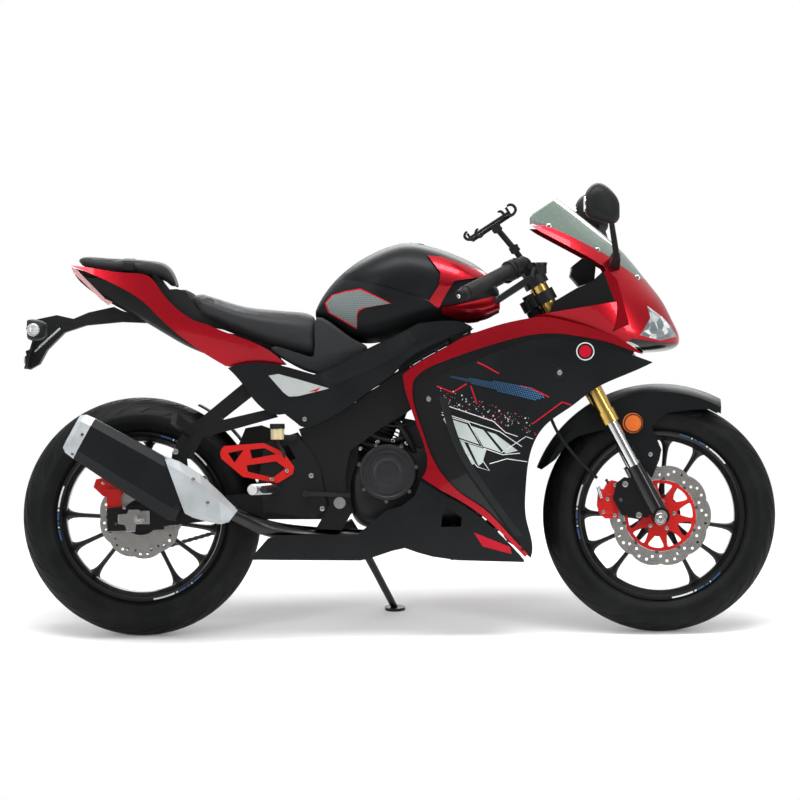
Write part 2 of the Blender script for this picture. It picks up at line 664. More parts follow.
def tyrePiece(name, front, body):
    # profile of three arcs turned about the axle; the radius dips where slanted grooves cross the tread
    one = wheel["front" if front else "rear"]
    radius, half, rimHalf, centre, flange = one["radius"], one["half"], one["rim"], one["axle"], wheel["flange"]
    shoulderY = half * 0.95
    shoulderR = radius - one["crown"] + math.sqrt(one["crown"] ** 2 - shoulderY ** 2)
    sideR = flange + (shoulderR - flange) * 0.55
    wall = arcPoints((rimHalf, flange), (half, sideR), (shoulderY, shoulderR), 22)
    tread = arcPoints((shoulderY, shoulderR), (0, radius), (-shoulderY, shoulderR), 82)
    outer = np.concatenate([wall[:-1], tread, (wall * (-1, 1))[::-1][1:]])
    bead = wheel["seat"] + 1
    inner = np.array([(-rimHalf, bead), (-rimHalf + 9, bead), (0, radius - 12), (rimHalf - 9, bead), (rimHalf, bead)])
    profile = np.concatenate([outer, inner])
    turn = np.linspace(0, 2 * np.pi, wheel["turns"], endpoint=False)
    y = profile[None, :, 0] + 0 * turn[:, None]
    r = profile[None, :, 1] + 0 * turn[:, None]
    across = np.abs(y)
    pitch = 2 * np.pi / wheel["pitches"]
    outside = (np.arange(len(profile)) < len(outer))[None, :]
    onTread = outside & (r > sideR)
    depth = np.zeros_like(r)
    for shift, start, end, slope, wide in wheel["grooves"]:
        mirrored = np.where(y < 0, 0.5, 0.0)
        phase = (turn[:, None] - slope * (across - half * start) * (1.0 + 0.006 * across)) / pitch + shift + mirrored
        distance = np.abs(phase - np.round(phase)) * pitch * radius
        groove = 1 - smoothStep(distance, wheel["wide"] * wide * 0.6, wheel["wide"] * wide * 1.35)
        ends = 1 - smoothStep(across, half * end - 4, half * end + 2)
        window = smoothStep(across, half * start - 2, half * start + 2) * ends
        depth = np.maximum(depth, groove * window)
    r = r - np.where(onTread, depth * wheel["deep"], 0)
    for ring, high in ((flange + 9, 1.3), (sideR + 12, 0.9), (sideR + 17, 0.9)):  # moulded rings on the side wall
        y = y + np.where(outside, np.sign(y) * high * np.exp(-((r - ring) / 1.4) ** 2), 0)
    points = np.stack([centre[0] + r * np.cos(turn)[:, None], y + 0 * r, centre[2] + r * np.sin(turn)[:, None]], -1)
    made = makePiece(name, (points, gridFaces(len(turn), len(profile), True, True)), body, "tyre", 40)
    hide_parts("front_tyre" if front else "rear_tyre")


def rimPiece(name, front, body):
    # barrel and hub turned, with nine spokes lofted from hub to barrel that spread at both ends
    one = wheel["front" if front else "rear"]
    rimHalf, centre = one["rim"], one["axle"]
    lip = rimHalf + 5
    seat, flange, inner = wheel["seat"], wheel["flange"], wheel["inner"]
    outer = [(-lip, flange - 1), (-lip + 1, flange), (-rimHalf - 0.6, flange), (-rimHalf, flange - 1),
             (-rimHalf, seat), (-rimHalf + 10, seat), (-rimHalf * 0.5, seat - 6)]
    under = [(lip, seat + 1), (lip - 1.5, seat - 3), (rimHalf * 0.75, inner + 4), (rimHalf * 0.6, inner)]
    barrel = [point for half in (outer, under) for point in half + [(-y, r) for y, r in half[::-1]]]
    parts = [lathe(barrel, centre, count=180, closed=True)]
    parts.append(lathe(one["hub"] + wheel["hub"], centre, count=90, closed=True))
    reach = np.array(wheel["reach"])[:, None]
    for base in wheel["spokeTurns"]:
        for step in (-1, 0, 1):
            outer = math.radians(base + step * wheel["spokeStep"])
            start = math.radians(base + step * wheel["spokeStep"] * 0.8)
            first = np.array([math.cos(start), 0, math.sin(start)]) * wheel["spokeFoot"]
            last = np.array([math.cos(outer), 0, math.sin(outer)]) * (inner + 2)
            parts.append(sweep(centre + first + (last - first) * reach, wheel["spokeWide"], wheel["spokeDeep"], 0.55,
                               20, up=(0, 1, 0), caps=False))
    made = makePiece(name, gather(parts), body, "glossBlack", 32)
    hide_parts("front_rim" if front else "rear_rim")


# bars on the rim's lip: the start and length of each in degrees, repeated in three groups
tape = {"groups": (38.0, 158.0, 278.0), "radii": np.array([212.0, 216.0]), "out": 5.25, "thick": 0.35,
        "white": ((0.0, 15.0), (16.2, 1.6), (28.4, 1.0)), "blue": ((18.6, 5.2), (25.0, 2.2), (30.6, 7.4))}


def rimTape(name, front, body):
    # plain blue and white blocks of different lengths on both sides of the rim
    one = wheel["front" if front else "rear"]
    centre = one["axle"]
    for kind in ("white", "blue"):
        parts = []
        for group in tape["groups"]:
            for start, length in tape[kind]:
                turn = np.radians(np.linspace(group + start, group + start + length, max(3, int(length * 1.5))))
                for sideways in (-1, 1):
                    grid = np.stack([centre[0] + tape["radii"][None, :] * np.cos(turn)[:, None],
                                     np.full((len(turn), 2), sideways * (one["rim"] + tape["out"])),
                                     centre[2] + tape["radii"][None, :] * np.sin(turn)[:, None]], -1)
                    back = grid - np.array([0, sideways * tape["thick"], 0])
                    parts.append((np.concatenate([grid, back[:, ::-1]], axis=1), cappedFaces(len(turn), 4)))
        makePiece(f"{name}_{kind}", gather(parts), body, "tape" + kind.capitalize(), 30)


mouldedPlastic("tapeWhite", (0.62, 0.64, 0.66), 0.35, 400.0, 0.05)
mouldedPlastic("tapeBlue", (0.035, 0.085, 0.19), 0.35, 400.0, 0.05)
for front, body in ((True, "front_wheel"), (False, "rear_wheel")):
    word = "front" if front else "rear"
    tyrePiece(word + "_tyre_tread", front, body)
    rimPiece(word + "_rim_spokes", front, body)
    rimTape(word + "_rim_tape", front, body)
print("wheels")

# chain, sprockets and shock absorber
chain = {"y": 80.0, "rearRadius": 93.6, "foreRadius": 37.6, "fore": (440.0, 80.0, 372.0), "pitch": 15.875,
         # plates between these distances from the middle; half length, radius and turns of the round parts
         "plates": ((2.4, 3.9), (4.3, 5.8)), "plateHalf": 5.6, "roller": (2.4, 4.6, 10), "pin": (6.3, 2.2, 8)}


def beltPath(count):
    # points and directions spaced evenly along a belt round two wheels
    first = np.array([rearAxle[0], rearAxle[2]])
    second = np.array([chain["fore"][0], chain["fore"][2]])
    along = second - first
    base = math.atan2(along[1], along[0])
    tilt = math.acos((chain["rearRadius"] - chain["foreRadius"]) / np.linalg.norm(along))
    rear = np.linspace(base + tilt, base + 2 * math.pi - tilt, 160)
    fore = np.linspace(base - tilt, base + tilt, 80)
    rearArc = first + chain["rearRadius"] * np.stack([np.cos(rear), np.sin(rear)], -1)
    foreArc = second + chain["foreRadius"] * np.stack([np.cos(fore), np.sin(fore)], -1)
    loop = np.concatenate([rearArc, foreArc, rearArc[:1]])
    lengths = np.concatenate([[0], np.cumsum(np.linalg.norm(np.diff(loop, axis=0), axis=1))])
    spaced = np.linspace(0, lengths[-1], count, endpoint=False)
    return np.stack([np.interp(spaced, lengths, loop[:, k]) for k in (0, 1)], -1), lengths[-1]


def linkPlate(length, half):
    # side plate of a link: two round ends with a waist
    angle = np.linspace(-np.pi / 2, np.pi / 2, 7)
    right = np.stack([length / 2 + half * np.cos(angle), half * np.sin(angle)], -1)
    waist = np.array([[0, half * 0.72]])
    return np.concatenate([right, waist, -right, -waist])


def chainPiece():
    # rollers at each pin, with inner and outer side plates in turn
    total = beltPath(10)[1]
    count = 2 * round(total / chain["pitch"] / 2)
    pins = beltPath(count)[0]
    following = np.roll(pins, -1, axis=0)
    step = following - pins
    middle = (pins + following) / 2
    outline = linkPlate(chain["pitch"], chain["plateHalf"])
    frames = [np.array([[math.cos(a), 0, -math.sin(a)], [0, 1, 0], [math.sin(a), 0, math.cos(a)]])
              for a in np.arctan2(step[:, 1], step[:, 0])]
    parts = []
    for kind, (low, high) in enumerate(chain["plates"]):
        pick = slice(kind, None, 2)
        places = np.stack([middle[pick, 0], np.full(len(frames[pick]), chain["y"]), middle[pick, 1]], -1)
        for sideways in (-1, 1):
            base = plate(outline, *sorted((sideways * low, sideways * high)))
            parts.append(repeatParts(base, places, frames[pick]))
    places = np.stack([pins[:, 0], np.full(count, chain["y"]), pins[:, 1]], -1)
    for half, radius, turns in (chain["roller"], chain["pin"]):
        turned = lathe([(-half, 0.0), (-half, radius), (half, radius), (half, 0.0)], (0, 0, 0), count=turns)
        parts.append(repeatParts(turned, places, [np.eye(3)] * count))
    made = makePiece("chain_links", gather(parts), "chassis", "chainSteel", 30)
    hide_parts("drive_chain")


metal("chainSteel", (0.16, 0.15, 0.14), 0.38)
sprayPaint("springRed", (0.42, 0.010, 0.010), 0.0, flake=0.2, coat=0.7)
chainPiece()

shock = {"low": (399.1, 0.0, 364.0), "high": (460.23, 0.0, 575.0), "coil": 21.5, "wire": 4.2, "turns": 9.0,
         # the damper's steps: share of the length and radius
         "body": [(0, 0), (0, 10), (0.12, 10), (0.125, 25), (0.16, 25), (0.165, 7), (0.5, 7), (0.505, 13), (0.8, 13),
                  (0.805, 23), (0.86, 23), (0.87, 20), (0.97, 19), (0.98, 11), (1, 11), (1, 0)]}


def shockPieces():
    # damper body, rod, collars and a coil spring, from the swingarm's bridge to the frame's cross tube
    low, high = np.array(shock["low"]), np.array(shock["high"])
    along = high - low
    length = np.linalg.norm(along)
    basis = frameAlong(along)
    t = np.linspace(0, 1, int(shock["turns"] * 26))
    angle = 2 * np.pi * shock["turns"] * t
    rise = length * (0.17 + 0.63 * t)
    helix = low + rise[:, None] * basis[:, 2] + shock["coil"] * (np.cos(angle)[:, None] * basis[:, 0]
                                                                  + np.sin(angle)[:, None] * basis[:, 1])
    spring = sweep(helix, shock["wire"], None, 1.0, 10, up=tuple(basis[:, 2]))
    makePiece("shock_spring", spring, "chassis", "springRed", 60)
    body = lathe([(length * share, radius) for share, radius in shock["body"]], low, along, 40)
    damper = makePiece("shock_damper", body, "chassis", "aluminium", 30)
    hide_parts("shock_absorber")


shockPieces()
print("chain and shock absorber")

# seat and pillion pad, each a padded cover over foam; rows hold x, underside, top and width as shares
seat = {"rows": [(0.093, 0.858, 0.872, 0.45), (0.107, 0.832, 0.882, 0.66), (0.131, 0.805, 0.874, 0.82),
                 (0.198, 0.768, 0.846, 0.97), (0.255, 0.738, 0.836, 1.0), (0.313, 0.712, 0.829, 0.92),
                 (0.337, 0.700, 0.824, 0.84)],
        "wide": 128.0, "shrink": 3.0, "pressure": 4.0, "cap": 4.0, "voxel": 5.0,
        "flank": [(0.342, 0.816), (0.409, 0.762), (0.438, 0.735), (0.399, 0.702), (0.355, 0.672), (0.336, 0.672),
                  (0.313, 0.682), (0.284, 0.703), (0.255, 0.729), (0.262, 0.742), (0.300, 0.725), (0.338, 0.712)],
        "flankEdge": ((9.0, -112.0), (4.0, -111.0), (1.2, -108.0), (0.0, -103.0), (0.0, 103.0), (1.2, 108.0),
                      (4.0, 111.0), (9.0, 112.0))}
pillion = {"rows": [(-0.119, 0.958, 0.971, 0.40), (-0.104, 0.946, 0.977, 0.62), (-0.052, 0.940, 0.972, 0.82),
                    (0.000, 0.932, 0.968, 0.92), (0.044, 0.917, 0.960, 0.95), (0.060, 0.902, 0.942, 0.90),
                    (0.072, 0.887, 0.900, 0.75)],
           "wide": 117.6, "shrink": 3.0, "pressure": 4.0, "cap": 4.0, "voxel": 4.5}


def padShape(pad, count=44, steps=6, power=0.55):
    # sections across the bike: a flat base and a crowned top, drawn in at the sides
    rows = smoothPath(pad["rows"], steps)
    u, v = superEllipse(count, power)
    x = rows[:, 0] * bike["base"]
    low, high = rows[:, 1] * bike["tall"] + pad["shrink"], rows[:, 2] * bike["tall"] - pad["shrink"]
    wide = rows[:, 3] * pad["wide"] - pad["shrink"]
    z = (low + high)[:, None] / 2 + (high - low)[:, None] / 2 * v * (1 - 0.10 * (u ** 2))
    y = wide[:, None] * u
    return np.stack([np.broadcast_to(x[:, None], y.shape), y, z], -1), cappedFaces(len(rows), count)


def rowsOf(items, what):
    # one vector of every item, as rows
    held = np.empty(len(items) * 3)
    items.foreach_get(what, held)
    return held.reshape(-1, 3)


def puff(made, pad):
    # remesh, let the pressure swell the cover, and keep each point within the cap
    bpy.context.view_layer.objects.active = made
    remesh = made.modifiers.new("remesh", "REMESH")
    remesh.mode = "VOXEL"
    remesh.voxel_size = pad["voxel"] / 1000
    bpy.ops.object.select_all(action="DESELECT")
    made.select_set(True)
    bpy.ops.object.modifier_apply(modifier="remesh")
    before = rowsOf(made.data.vertices, "co")
    cloth = made.modifiers.new("cloth", "CLOTH")
    cloth.settings.use_pressure = True
    cloth.settings.uniform_pressure_force = pad["pressure"]
    cloth.settings.effector_weights.gravity = 0
    cloth.settings.tension_stiffness = 25
    cloth.settings.compression_stiffness = 25
    cloth.point_cache.frame_end = 20
    for step in range(1, 21):
        bpy.context.scene.frame_set(step)
    bpy.ops.object.modifier_apply(modifier="cloth")
    bpy.context.scene.frame_set(1)
    move = rowsOf(made.data.vertices, "co") - before
    length = np.linalg.norm(move, axis=1)
    move *= np.minimum(1, pad["cap"] / 1000 / np.maximum(length, 1e-9))[:, None]
    made.data.vertices.foreach_set("co", (before + move).ravel())
    made.data.shade_smooth()
    divided = made.modifiers.new("divided", "SUBSURF")
    divided.levels = 1
    divided.render_levels = 1


def seatVinyl(name):
    # leather-grained vinyl: small cells with dark valleys, worn a little glossier on top
    f = Finish(name)
    grain = f.cells(520.0)
    fine = f.noise(1500.0, 2.0)
    slow = f.noise(7.0, 3.0)
    height = f.ramp(grain, 0.0, 0.6) * 0.8 + fine * 0.2
    tone = f.blend(f.ramp(grain, 0.1, 0.5), (0.008, 0.0085, 0.0092), (0.019, 0.020, 0.0215))
    f.surface(Base_Color=tone, Roughness=0.52 + (slow - 0.5) * 0.2, Normal=f.bump(height, 0.45, 0.0006),
              Sheen_Weight=0.06, Sheen_Roughness=0.4, Specular_IOR_Level=0.22)


seatVinyl("padVinyl")
riderPad = makePiece("rider_seat_cover", padShape(seat), "chassis", "padVinyl", 180)
puff(riderPad, seat)
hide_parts("rider_seat")
pillionPad = makePiece("pillion_pad_cover", padShape(pillion), "chassis", "padVinyl", 180)
puff(pillionPad, pillion)
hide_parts("pillion_pad")


def flankPiece():
    # moulded flank from the seat down to the side cover, rounded at both sides
    outline = smoothPath([side(*pair)[[0, 2]] for pair in seat["flank"]], 5, True)
    makePiece("seat_flanks", stacked([(drawIn(outline, inset), y) for inset, y in seat["flankEdge"]]), "chassis",
              "padVinyl", 50)


flankPiece()
print("seat and pillion pad")


# thin pieces that follow the CAD surfaces
def surfaceAt(names, x, z, sideways):
    # where a level line across the bike first meets one of the nodes, with the way out there; edges are met from
    # close by
    best = None
    for reach in (0, 3, 6, 9, 12):
        for angle in np.radians(range(0, 360, 45)):
            start = parkMatrix @ Vector((x + reach * math.cos(angle), sideways * 600.0, z + reach * math.sin(angle)))
            for name in names.split():
                found, place, normal, _ = nodes[name].ray_cast(start, parkTurn @ Vector((0, -sideways, 0)))
                if found and (best is None or (place - start).length < best[0]):
                    best = ((place - start).length, place, normal)
        if best:
            return np.array(parkMatrix.inverted() @ best[1]), np.array(parkTurn.inverted() @ best[2])
    raise ValueError(f"nothing of {names} at {x:.0f}, {z:.0f}")


def insideLoop(points, loop):
    # even-odd test of (x, z) points against a closed outline
    following = np.roll(loop, -1, axis=0)
    passes = (loop[:, 1] > points[:, None, 1]) != (following[:, 1] > points[:, None, 1])
    rise = following[:, 1] - loop[:, 1]
    rise = np.where(np.abs(rise) < 1e-9, 1e-9, rise)
    crossing = (following[:, 0] - loop[:, 0]) * (points[:, None, 1] - loop[:, 1]) / rise + loop[:, 0]
    return (passes & (points[:, None, 0] < crossing)).sum(1) % 2 == 1


def flatNet(outline, spacing):
    # triangles that fill an (x, z) outline, with points inside it on a regular net
    outline = np.asarray(outline, float)
    low, high = outline.min(0), outline.max(0)
    xs = np.arange(low[0] + spacing / 2, high[0], spacing)
    zs = np.arange(low[1] + spacing / 2, high[1], spacing)
    net = np.stack(np.meshgrid(xs, zs, indexing="ij"), -1).reshape(-1, 2)
    edge = np.roll(outline, -1, axis=0) - outline
    reach = np.clip(((net[:, None] - outline) * edge).sum(-1) / (edge ** 2).sum(-1), 0, 1)
    gap = np.linalg.norm(net[:, None] - (outline + reach[..., None] * edge), axis=-1).min(1)
    net = net[insideLoop(net, outline) & (gap > spacing * 0.4)]
    points = [Vector(p) for p in np.concatenate([outline, net])]
    count = len(outline)
    edges = [(i, (i + 1) % count) for i in range(count)]
    flat, _, faces, _, _, _ = delaunay_2d_cdt(points, edges, [], 1, 1e-6)
    return np.array(flat), faces


def densify(outline, spacing):
    # more points along each side of an outline
    outline = np.asarray(outline, float)
    sides = []
    for first, second in zip(outline, np.roll(outline, -1, axis=0)):
        count = max(1, int(np.linalg.norm(second - first) / spacing))
        sides.append(first + (second - first) * np.linspace(0, 1, count, endpoint=False)[:, None])
    return np.concatenate(sides)


def patchOn(name, node, outlines, sideways, body, finish, thick=0.8, lift=0.3, spacing=8.0):
    # sheets of seen outlines pressed onto the node's outer side, each with its own thickness and edge
    points, faces, borders = [], [], []
    start = 0
    for outline in outlines:
        edge = densify(seenOutline(outline), spacing)
        flat, triangles = flatNet(edge, spacing)
        points.append(np.stack([flat[:, 0], np.full(len(flat), sideways * 500.0), flat[:, 1]], -1) / 1000)
        faces += [[start + i for i in triangle] for triangle in triangles]
        borders.append((start, len(edge)))
        start += len(flat)
    mesh = bpy.data.meshes.new(name)
    mesh.from_pydata(np.concatenate(points).tolist(), [], faces)
    made = bpy.data.objects.new(name, mesh)
    bpy.context.collection.objects.link(made)
    made.matrix_world = parkMatrix @ Matrix.Scale(1000, 4)
    wrap = made.modifiers.new("wrap", "SHRINKWRAP")
    wrap.wrap_method = "PROJECT"
    wrap.use_project_y = True
    wrap.use_negative_direction = sideways > 0
    wrap.use_positive_direction = sideways < 0
    wrap.target = nodes[node]
    bpy.context.view_layer.update()
    wrapped = bpy.data.meshes.new_from_object(made.evaluated_get(bpy.context.evaluated_depsgraph_get()))
    count = len(wrapped.vertices)
    place, normal = rowsOf(wrapped.vertices, "co"), rowsOf(wrapped.vertex_normals, "vector")
    normal *= np.sign(normal[:, 1] * sideways + 1e-9)[:, None]
    missed = np.abs(place[:, 1]) > 0.49  # points past the node's edge are drawn to the nearest one on it
    if missed.any():
        gap = np.linalg.norm(place[missed][:, None, ::2] - place[~missed][None, :, ::2], axis=-1)
        nearest = np.flatnonzero(~missed)[gap.argmin(1)]
        place[missed], normal[missed] = place[nearest], normal[nearest]
    under = place + normal * lift / 1000
    upper = place + normal * (lift + thick) / 1000
    triangles = [list(p.vertices) for p in wrapped.polygons]
    faces = [[i + count for i in t] for t in triangles] + [t[::-1] for t in triangles]
    for start, border in borders:
        faces += [[start + i, start + (i + 1) % border, start + (i + 1) % border + count, start + i + count]
                  for i in range(border)]
    bpy.data.objects.remove(made)
    bpy.data.meshes.remove(wrapped)
    bpy.data.meshes.remove(mesh)
    return makePiece(name, (np.concatenate([under, upper]) * 1000, faces), body, finish, 50)


# places read on the photograph of the right side, and pieces that are pressed onto the bodywork
photo = {"left": 141.3, "ground": 635.4, "turn": 0.00813, "scale": 2.58}


def seen(across, down, y=0.0):
    # upright millimetres of a place in the photograph's pixels: scale * (across - left), and
    # scale * (ground - down - turn)
    x = across - photo["left"]
    return np.array([x * photo["scale"], y, (photo["ground"] - down - x * photo["turn"]) * photo["scale"]])


def seenOutline(pairs):
    return np.array([seen(*pair)[[0, 2]] for pair in pairs])


def screws(name, node, spots, body, finish, radius=5.0, high=4.0, sideways=-1, socket=True, sink=0.5):
    # screw heads on the node's outer side
    found = [surfaceAt(node, *seen(*spot)[[0, 2]], sideways)[0] for spot in spots]
    places = np.array(found) - (0, sideways * sink, 0)
    return boltSet(name, body, finish, places, (0, sideways, 0), radius, high, socket)


def bossRing(name, node, spots, body, finish, inner, outer, high, sideways=-1):
    # raised collars round screws
    parts = []
    for spot in spots:
        place = surfaceAt(node, *seen(*spot)[[0, 2]], sideways)[0]
        profile = [(-1.0, inner), (high - 0.6, inner), (high, inner + 0.6), (high, outer - 0.8), (high - 0.8, outer),
                   (-1.0, outer)]
        parts.append(lathe(profile, place, (0, sideways, 0), 32, True))
    return makePiece(name, gather(parts), body, finish, 40)


def ridgeOn(name, node, lines, lifts, sideways, body, finish, count=40, smooth=30.0):
    # a moulded strip: seen lines pressed to the node, each raised by its own height, closed underneath
    rows = []
    for line, lift in zip(lines, lifts):
        path = smoothPath(seenOutline(line), 8)
        length = np.concatenate([[0], np.cumsum(np.linalg.norm(np.diff(path, axis=0), axis=1))])
        even = np.linspace(0, length[-1], count)
        path = np.stack([np.interp(even, length, path[:, k]) for k in (0, 1)], -1)
        found = np.array([surfaceAt(node, x, z, sideways)[0] for x, z in path])
        ends = np.minimum(1, np.minimum(np.arange(count), np.arange(count)[::-1]) / 3.0)
        rows.append(found + np.array([0, sideways, 0]) * (0.2 + lift * ends)[:, None])
    grid = np.stack(rows + [row - (0, sideways * 1.2, 0) for row in (rows[-1], rows[0])], 1)
    return makePiece(name, (grid, cappedFaces(count, len(rows) + 2)), body, finish, smooth)


def tube(name, points, radius, body, finish, steps=8, count=14):
    path = smoothPath(points, steps)
    return makePiece(name, sweep(path, radius, None, 1.0, count, up=(0.13, 1, 0.07)), body, finish, 60)


def sheetOf(outline, spacing, low, high):
    # plate of an outline read on the photograph, between two y values in either order
    return plate(densify(seenOutline(outline), spacing), *sorted((low, high)))


mouldedPlastic("printGrey", (0.42, 0.47, 0.45), 0.40, 500.0, 0.04)
mouldedPlastic("printWhite", (0.70, 0.72, 0.72), 0.38, 500.0, 0.04)
mouldedPlastic("printBlue", (0.050, 0.160, 0.330), 0.38, 500.0, 0.04)
mouldedPlastic("printRed", (0.50, 0.006, 0.022), 0.36, 500.0, 0.04)
mouldedPlastic("bevelBlack", (0.013, 0.0145, 0.0155), 0.42, 500.0, 0.06)


# the fairing's own print: slanted bars, hairlines, a dotted band and scattered squares
printed = {"bars": [[(441, 416), (466, 424), (478, 444), (452, 435)],
                    [(470, 425.5), (482, 429.5), (500, 452), (482, 446)],
                    [(486, 431), (494, 433.6), (516, 450), (504, 453)],
                    [(453, 438), (463, 441.5), (474, 463), (470, 464)],
                    [(467, 443), (485, 449), (481, 462), (477, 465)]],
           "lines": [[(440, 412), (498, 431), (520, 446)], [(446, 405.5), (492, 421), (504, 432), (516, 436)],
                     [(441, 414.5), (468, 422.5), (481, 446.5), (452, 437)], [(482, 447.5), (501, 454), (518, 452.5)],
                     [(456, 441.5), (476, 466), (488, 470), (480, 458)], [(500, 452), (524, 436), (538, 441)],
                     [(488, 463), (505, 458), (532, 462)]],
           "red": [[(470, 360), (483, 365.5), (498, 374)], [(433.5, 385), (452, 392.5), (466, 384)],
                   [(519, 386), (531, 389), (547, 397)], [(530, 424), (560, 402), (569, 405)],
                   [(470, 386), (476, 404)]],
           "band": {"start": (451, 377), "end": (541, 396), "rows": 6, "count": 38, "pitch": 2.35},
           "edge": [(437.6, 397), (443.4, 420), (450.5, 441), (463.2, 466), (485.6, 499), (512.0, 535)],
           "scatter": {"from": (440, 395), "to": (536, 428), "count": 170},
           # the round badge's discs: name, radius, finish and thickness
           "badge": (("ring", 9.0, "printWhite", 0.8), ("field", 7.8, "glossBlack", 1.2),
                     ("centre", 6.0, "printRed", 1.8)),
           "badgeAt": (583, 352), "flash": [(472, 531), (508, 545.6), (509.5, 552.6), (481, 545.2)],
           "bevel": ((1.0, 4.0, 9.0), (0.2, 3.2, 0.1)), "recess": [(557.6, 373)], "stripeScrew": [(428.3, 399)],
           "noseScrews": [(549.0, 227.6), (597.3, 251.2), (637.3, 278.2)]}


def square(across, down, half, slant=0.35):
    lean = slant * half
    return [(across - half - lean, down - half), (across + half - lean, down - half),
            (across + half + lean, down + half), (across - half + lean, down + half)]


def linePatch(points, half):
    # a thin closed outline along a bent line
    path = np.array(points, float)
    step = np.gradient(path, axis=0)
    step /= np.linalg.norm(step, axis=1)[:, None]
    away = np.stack([-step[:, 1], step[:, 0]], -1) * half
    return np.concatenate([path + away, (path - away)[::-1]])


def fairingPrint(sideways, tag):
    # bars, hairlines, a band of slanted dots that widens and closes again, and seeded squares
    seeded = np.random.default_rng(31)
    pieces = {"grey": [], "white": [], "blue": [], "red": []}
    pieces["grey"] += printed["bars"]
    pieces["white"] += [linePatch(line, 0.35) for line in printed["lines"]]
    pieces["red"] += [linePatch(line, 0.6) for line in printed["red"]]
    band = printed["band"]
    start, end = np.array(band["start"], float), np.array(band["end"], float)
    for share in np.arange(band["count"]) / (band["count"] - 1):
        middle = start + (end - start) * share
        reach = 0.25 + 0.75 * min(1.0, share * 1.6) * (1.0 if share < 0.88 else (1 - share) / 0.12)
        for row in np.arange(band["rows"]) - (band["rows"] - 1) / 2:
            offset = row * band["pitch"] * (0.6 + 0.4 * share)
            if abs(row) / band["rows"] * 2 <= reach:
                pieces["blue"].append(square(middle[0] + offset * 0.4, middle[1] + offset, 0.34 + 0.42 * share))
    scatter = printed["scatter"]
    low, high = np.array(scatter["from"], float), np.array(scatter["to"], float)
    for _ in range(scatter["count"]):
        t = seeded.random()
        across = low[0] + (high[0] - low[0]) * t
        down = low[1] + (high[1] - low[1]) * t + (seeded.random() - 0.5) * 16
        half = 0.18 + 0.5 * seeded.random() ** 3
        kind = "red" if seeded.random() < 0.3 else ("white" if seeded.random() < 0.5 else "grey")
        pieces[kind].append(square(across, down, half, 0.0))
    for kind, outlines in pieces.items():
        patchOn("fairing_print_" + kind + tag, "side_fairings", outlines, sideways, "chassis",
                "print" + kind.capitalize(), 0.25, 0.12)


def discPatch(across, down, radius, count=40):
    angle = np.linspace(0, 2 * np.pi, count, endpoint=False)
    return np.stack([across + radius * np.cos(angle), down + radius * np.sin(angle)], -1)


for sideways, tag in bothSides:
    fairingPrint(sideways, tag)
    for part, radius, finish, thick in printed["badge"]:
        patchOn("round_badge_" + part + tag, "side_fairings", [discPatch(*printed["badgeAt"], radius)], sideways,
                "chassis", finish, thick, 0.1)
    patchOn("belly_flash" + tag, "belly_pan", [printed["flash"]], sideways, "chassis", "printRed", 0.5, 0.15)
    shifts, lifts = printed["bevel"]
    ridgeOn("fairing_bevel" + tag, "side_fairings", [[(x + shift, y) for x, y in printed["edge"]] for shift in shifts],
            lifts, sideways, "chassis", "bevelBlack")
    bossRing("fairing_recess" + tag, "side_fairings", printed["recess"], "chassis", "glossBlack", 8.0, 12.5, 1.8,
             sideways)
    screws("fairing_recess_screw" + tag, "side_fairings", printed["recess"], "chassis", "steel", 6.0, 2.0, sideways)
    screws("stripe_screw" + tag, "fairing_stripes inner_panels", printed["stripeScrew"], "chassis", "steel", 6.5, 3.0,
           sideways)
    bossRing("stripe_screw_seat" + tag, "fairing_stripes inner_panels", printed["stripeScrew"], "chassis", "glossBlack",
             6.6, 9.6, 1.0, sideways)
    screws("nose_screws" + tag, "nose_cowl windscreen", printed["noseScrews"], "chassis", "chrome", 7.0, 3.0, sideways,
           False)
print("fairing print, badges and screws")

# knee pads: ribbed rubber with a red edge
kneePad = {"outline": [(326.4, 303.7), (333.8, 295.6), (347, 291.8), (361.9, 289.6), (377, 296.5), (392, 304.3),
                       (378, 306.6), (365.9, 309), (360.5, 311.8), (358.5, 315.7), (357.9, 329.1), (343, 320.5),
                       (329.8, 313)], "inset": 1.5, "pitch": 3.6}


def ribbedRubber(name, colour, pitch):
    # slanted fine ribs with a dusty grey bloom
    f = Finish(name)
    x, y, z = f.split(f.upright())
    ribs = (((x + z * 0.35) / pitch).part() - 0.5).size() * 2
    cross = ((z / (pitch * 1.4)).part() - 0.5).size() * 2
    height = ribs.least(cross.above(0.15, 0.2))
    tone = f.blend(height.above(0.45, 0.5), shade(colour, 0.25), colour)
    f.surface(Base_Color=tone, Roughness=0.7 + (f.noise(20.0) - 0.5) * 0.1, Normal=f.bump(height, 0.6, 0.0008))


ribbedRubber("kneeRubber", (0.20, 0.24, 0.235), kneePad["pitch"])
outline = np.array(kneePad["outline"])
inner = drawIn(outline, kneePad["inset"])
for sideways, tag in bothSides:
    patchOn("knee_pad_edge" + tag, "fuel_tank", [outline], sideways, "chassis", "printRed", 1.6, 0.2)
    patchOn("knee_pad" + tag, "fuel_tank", [inner], sideways, "chassis", "kneeRubber", 2.6, 0.2)
print("knee pads")

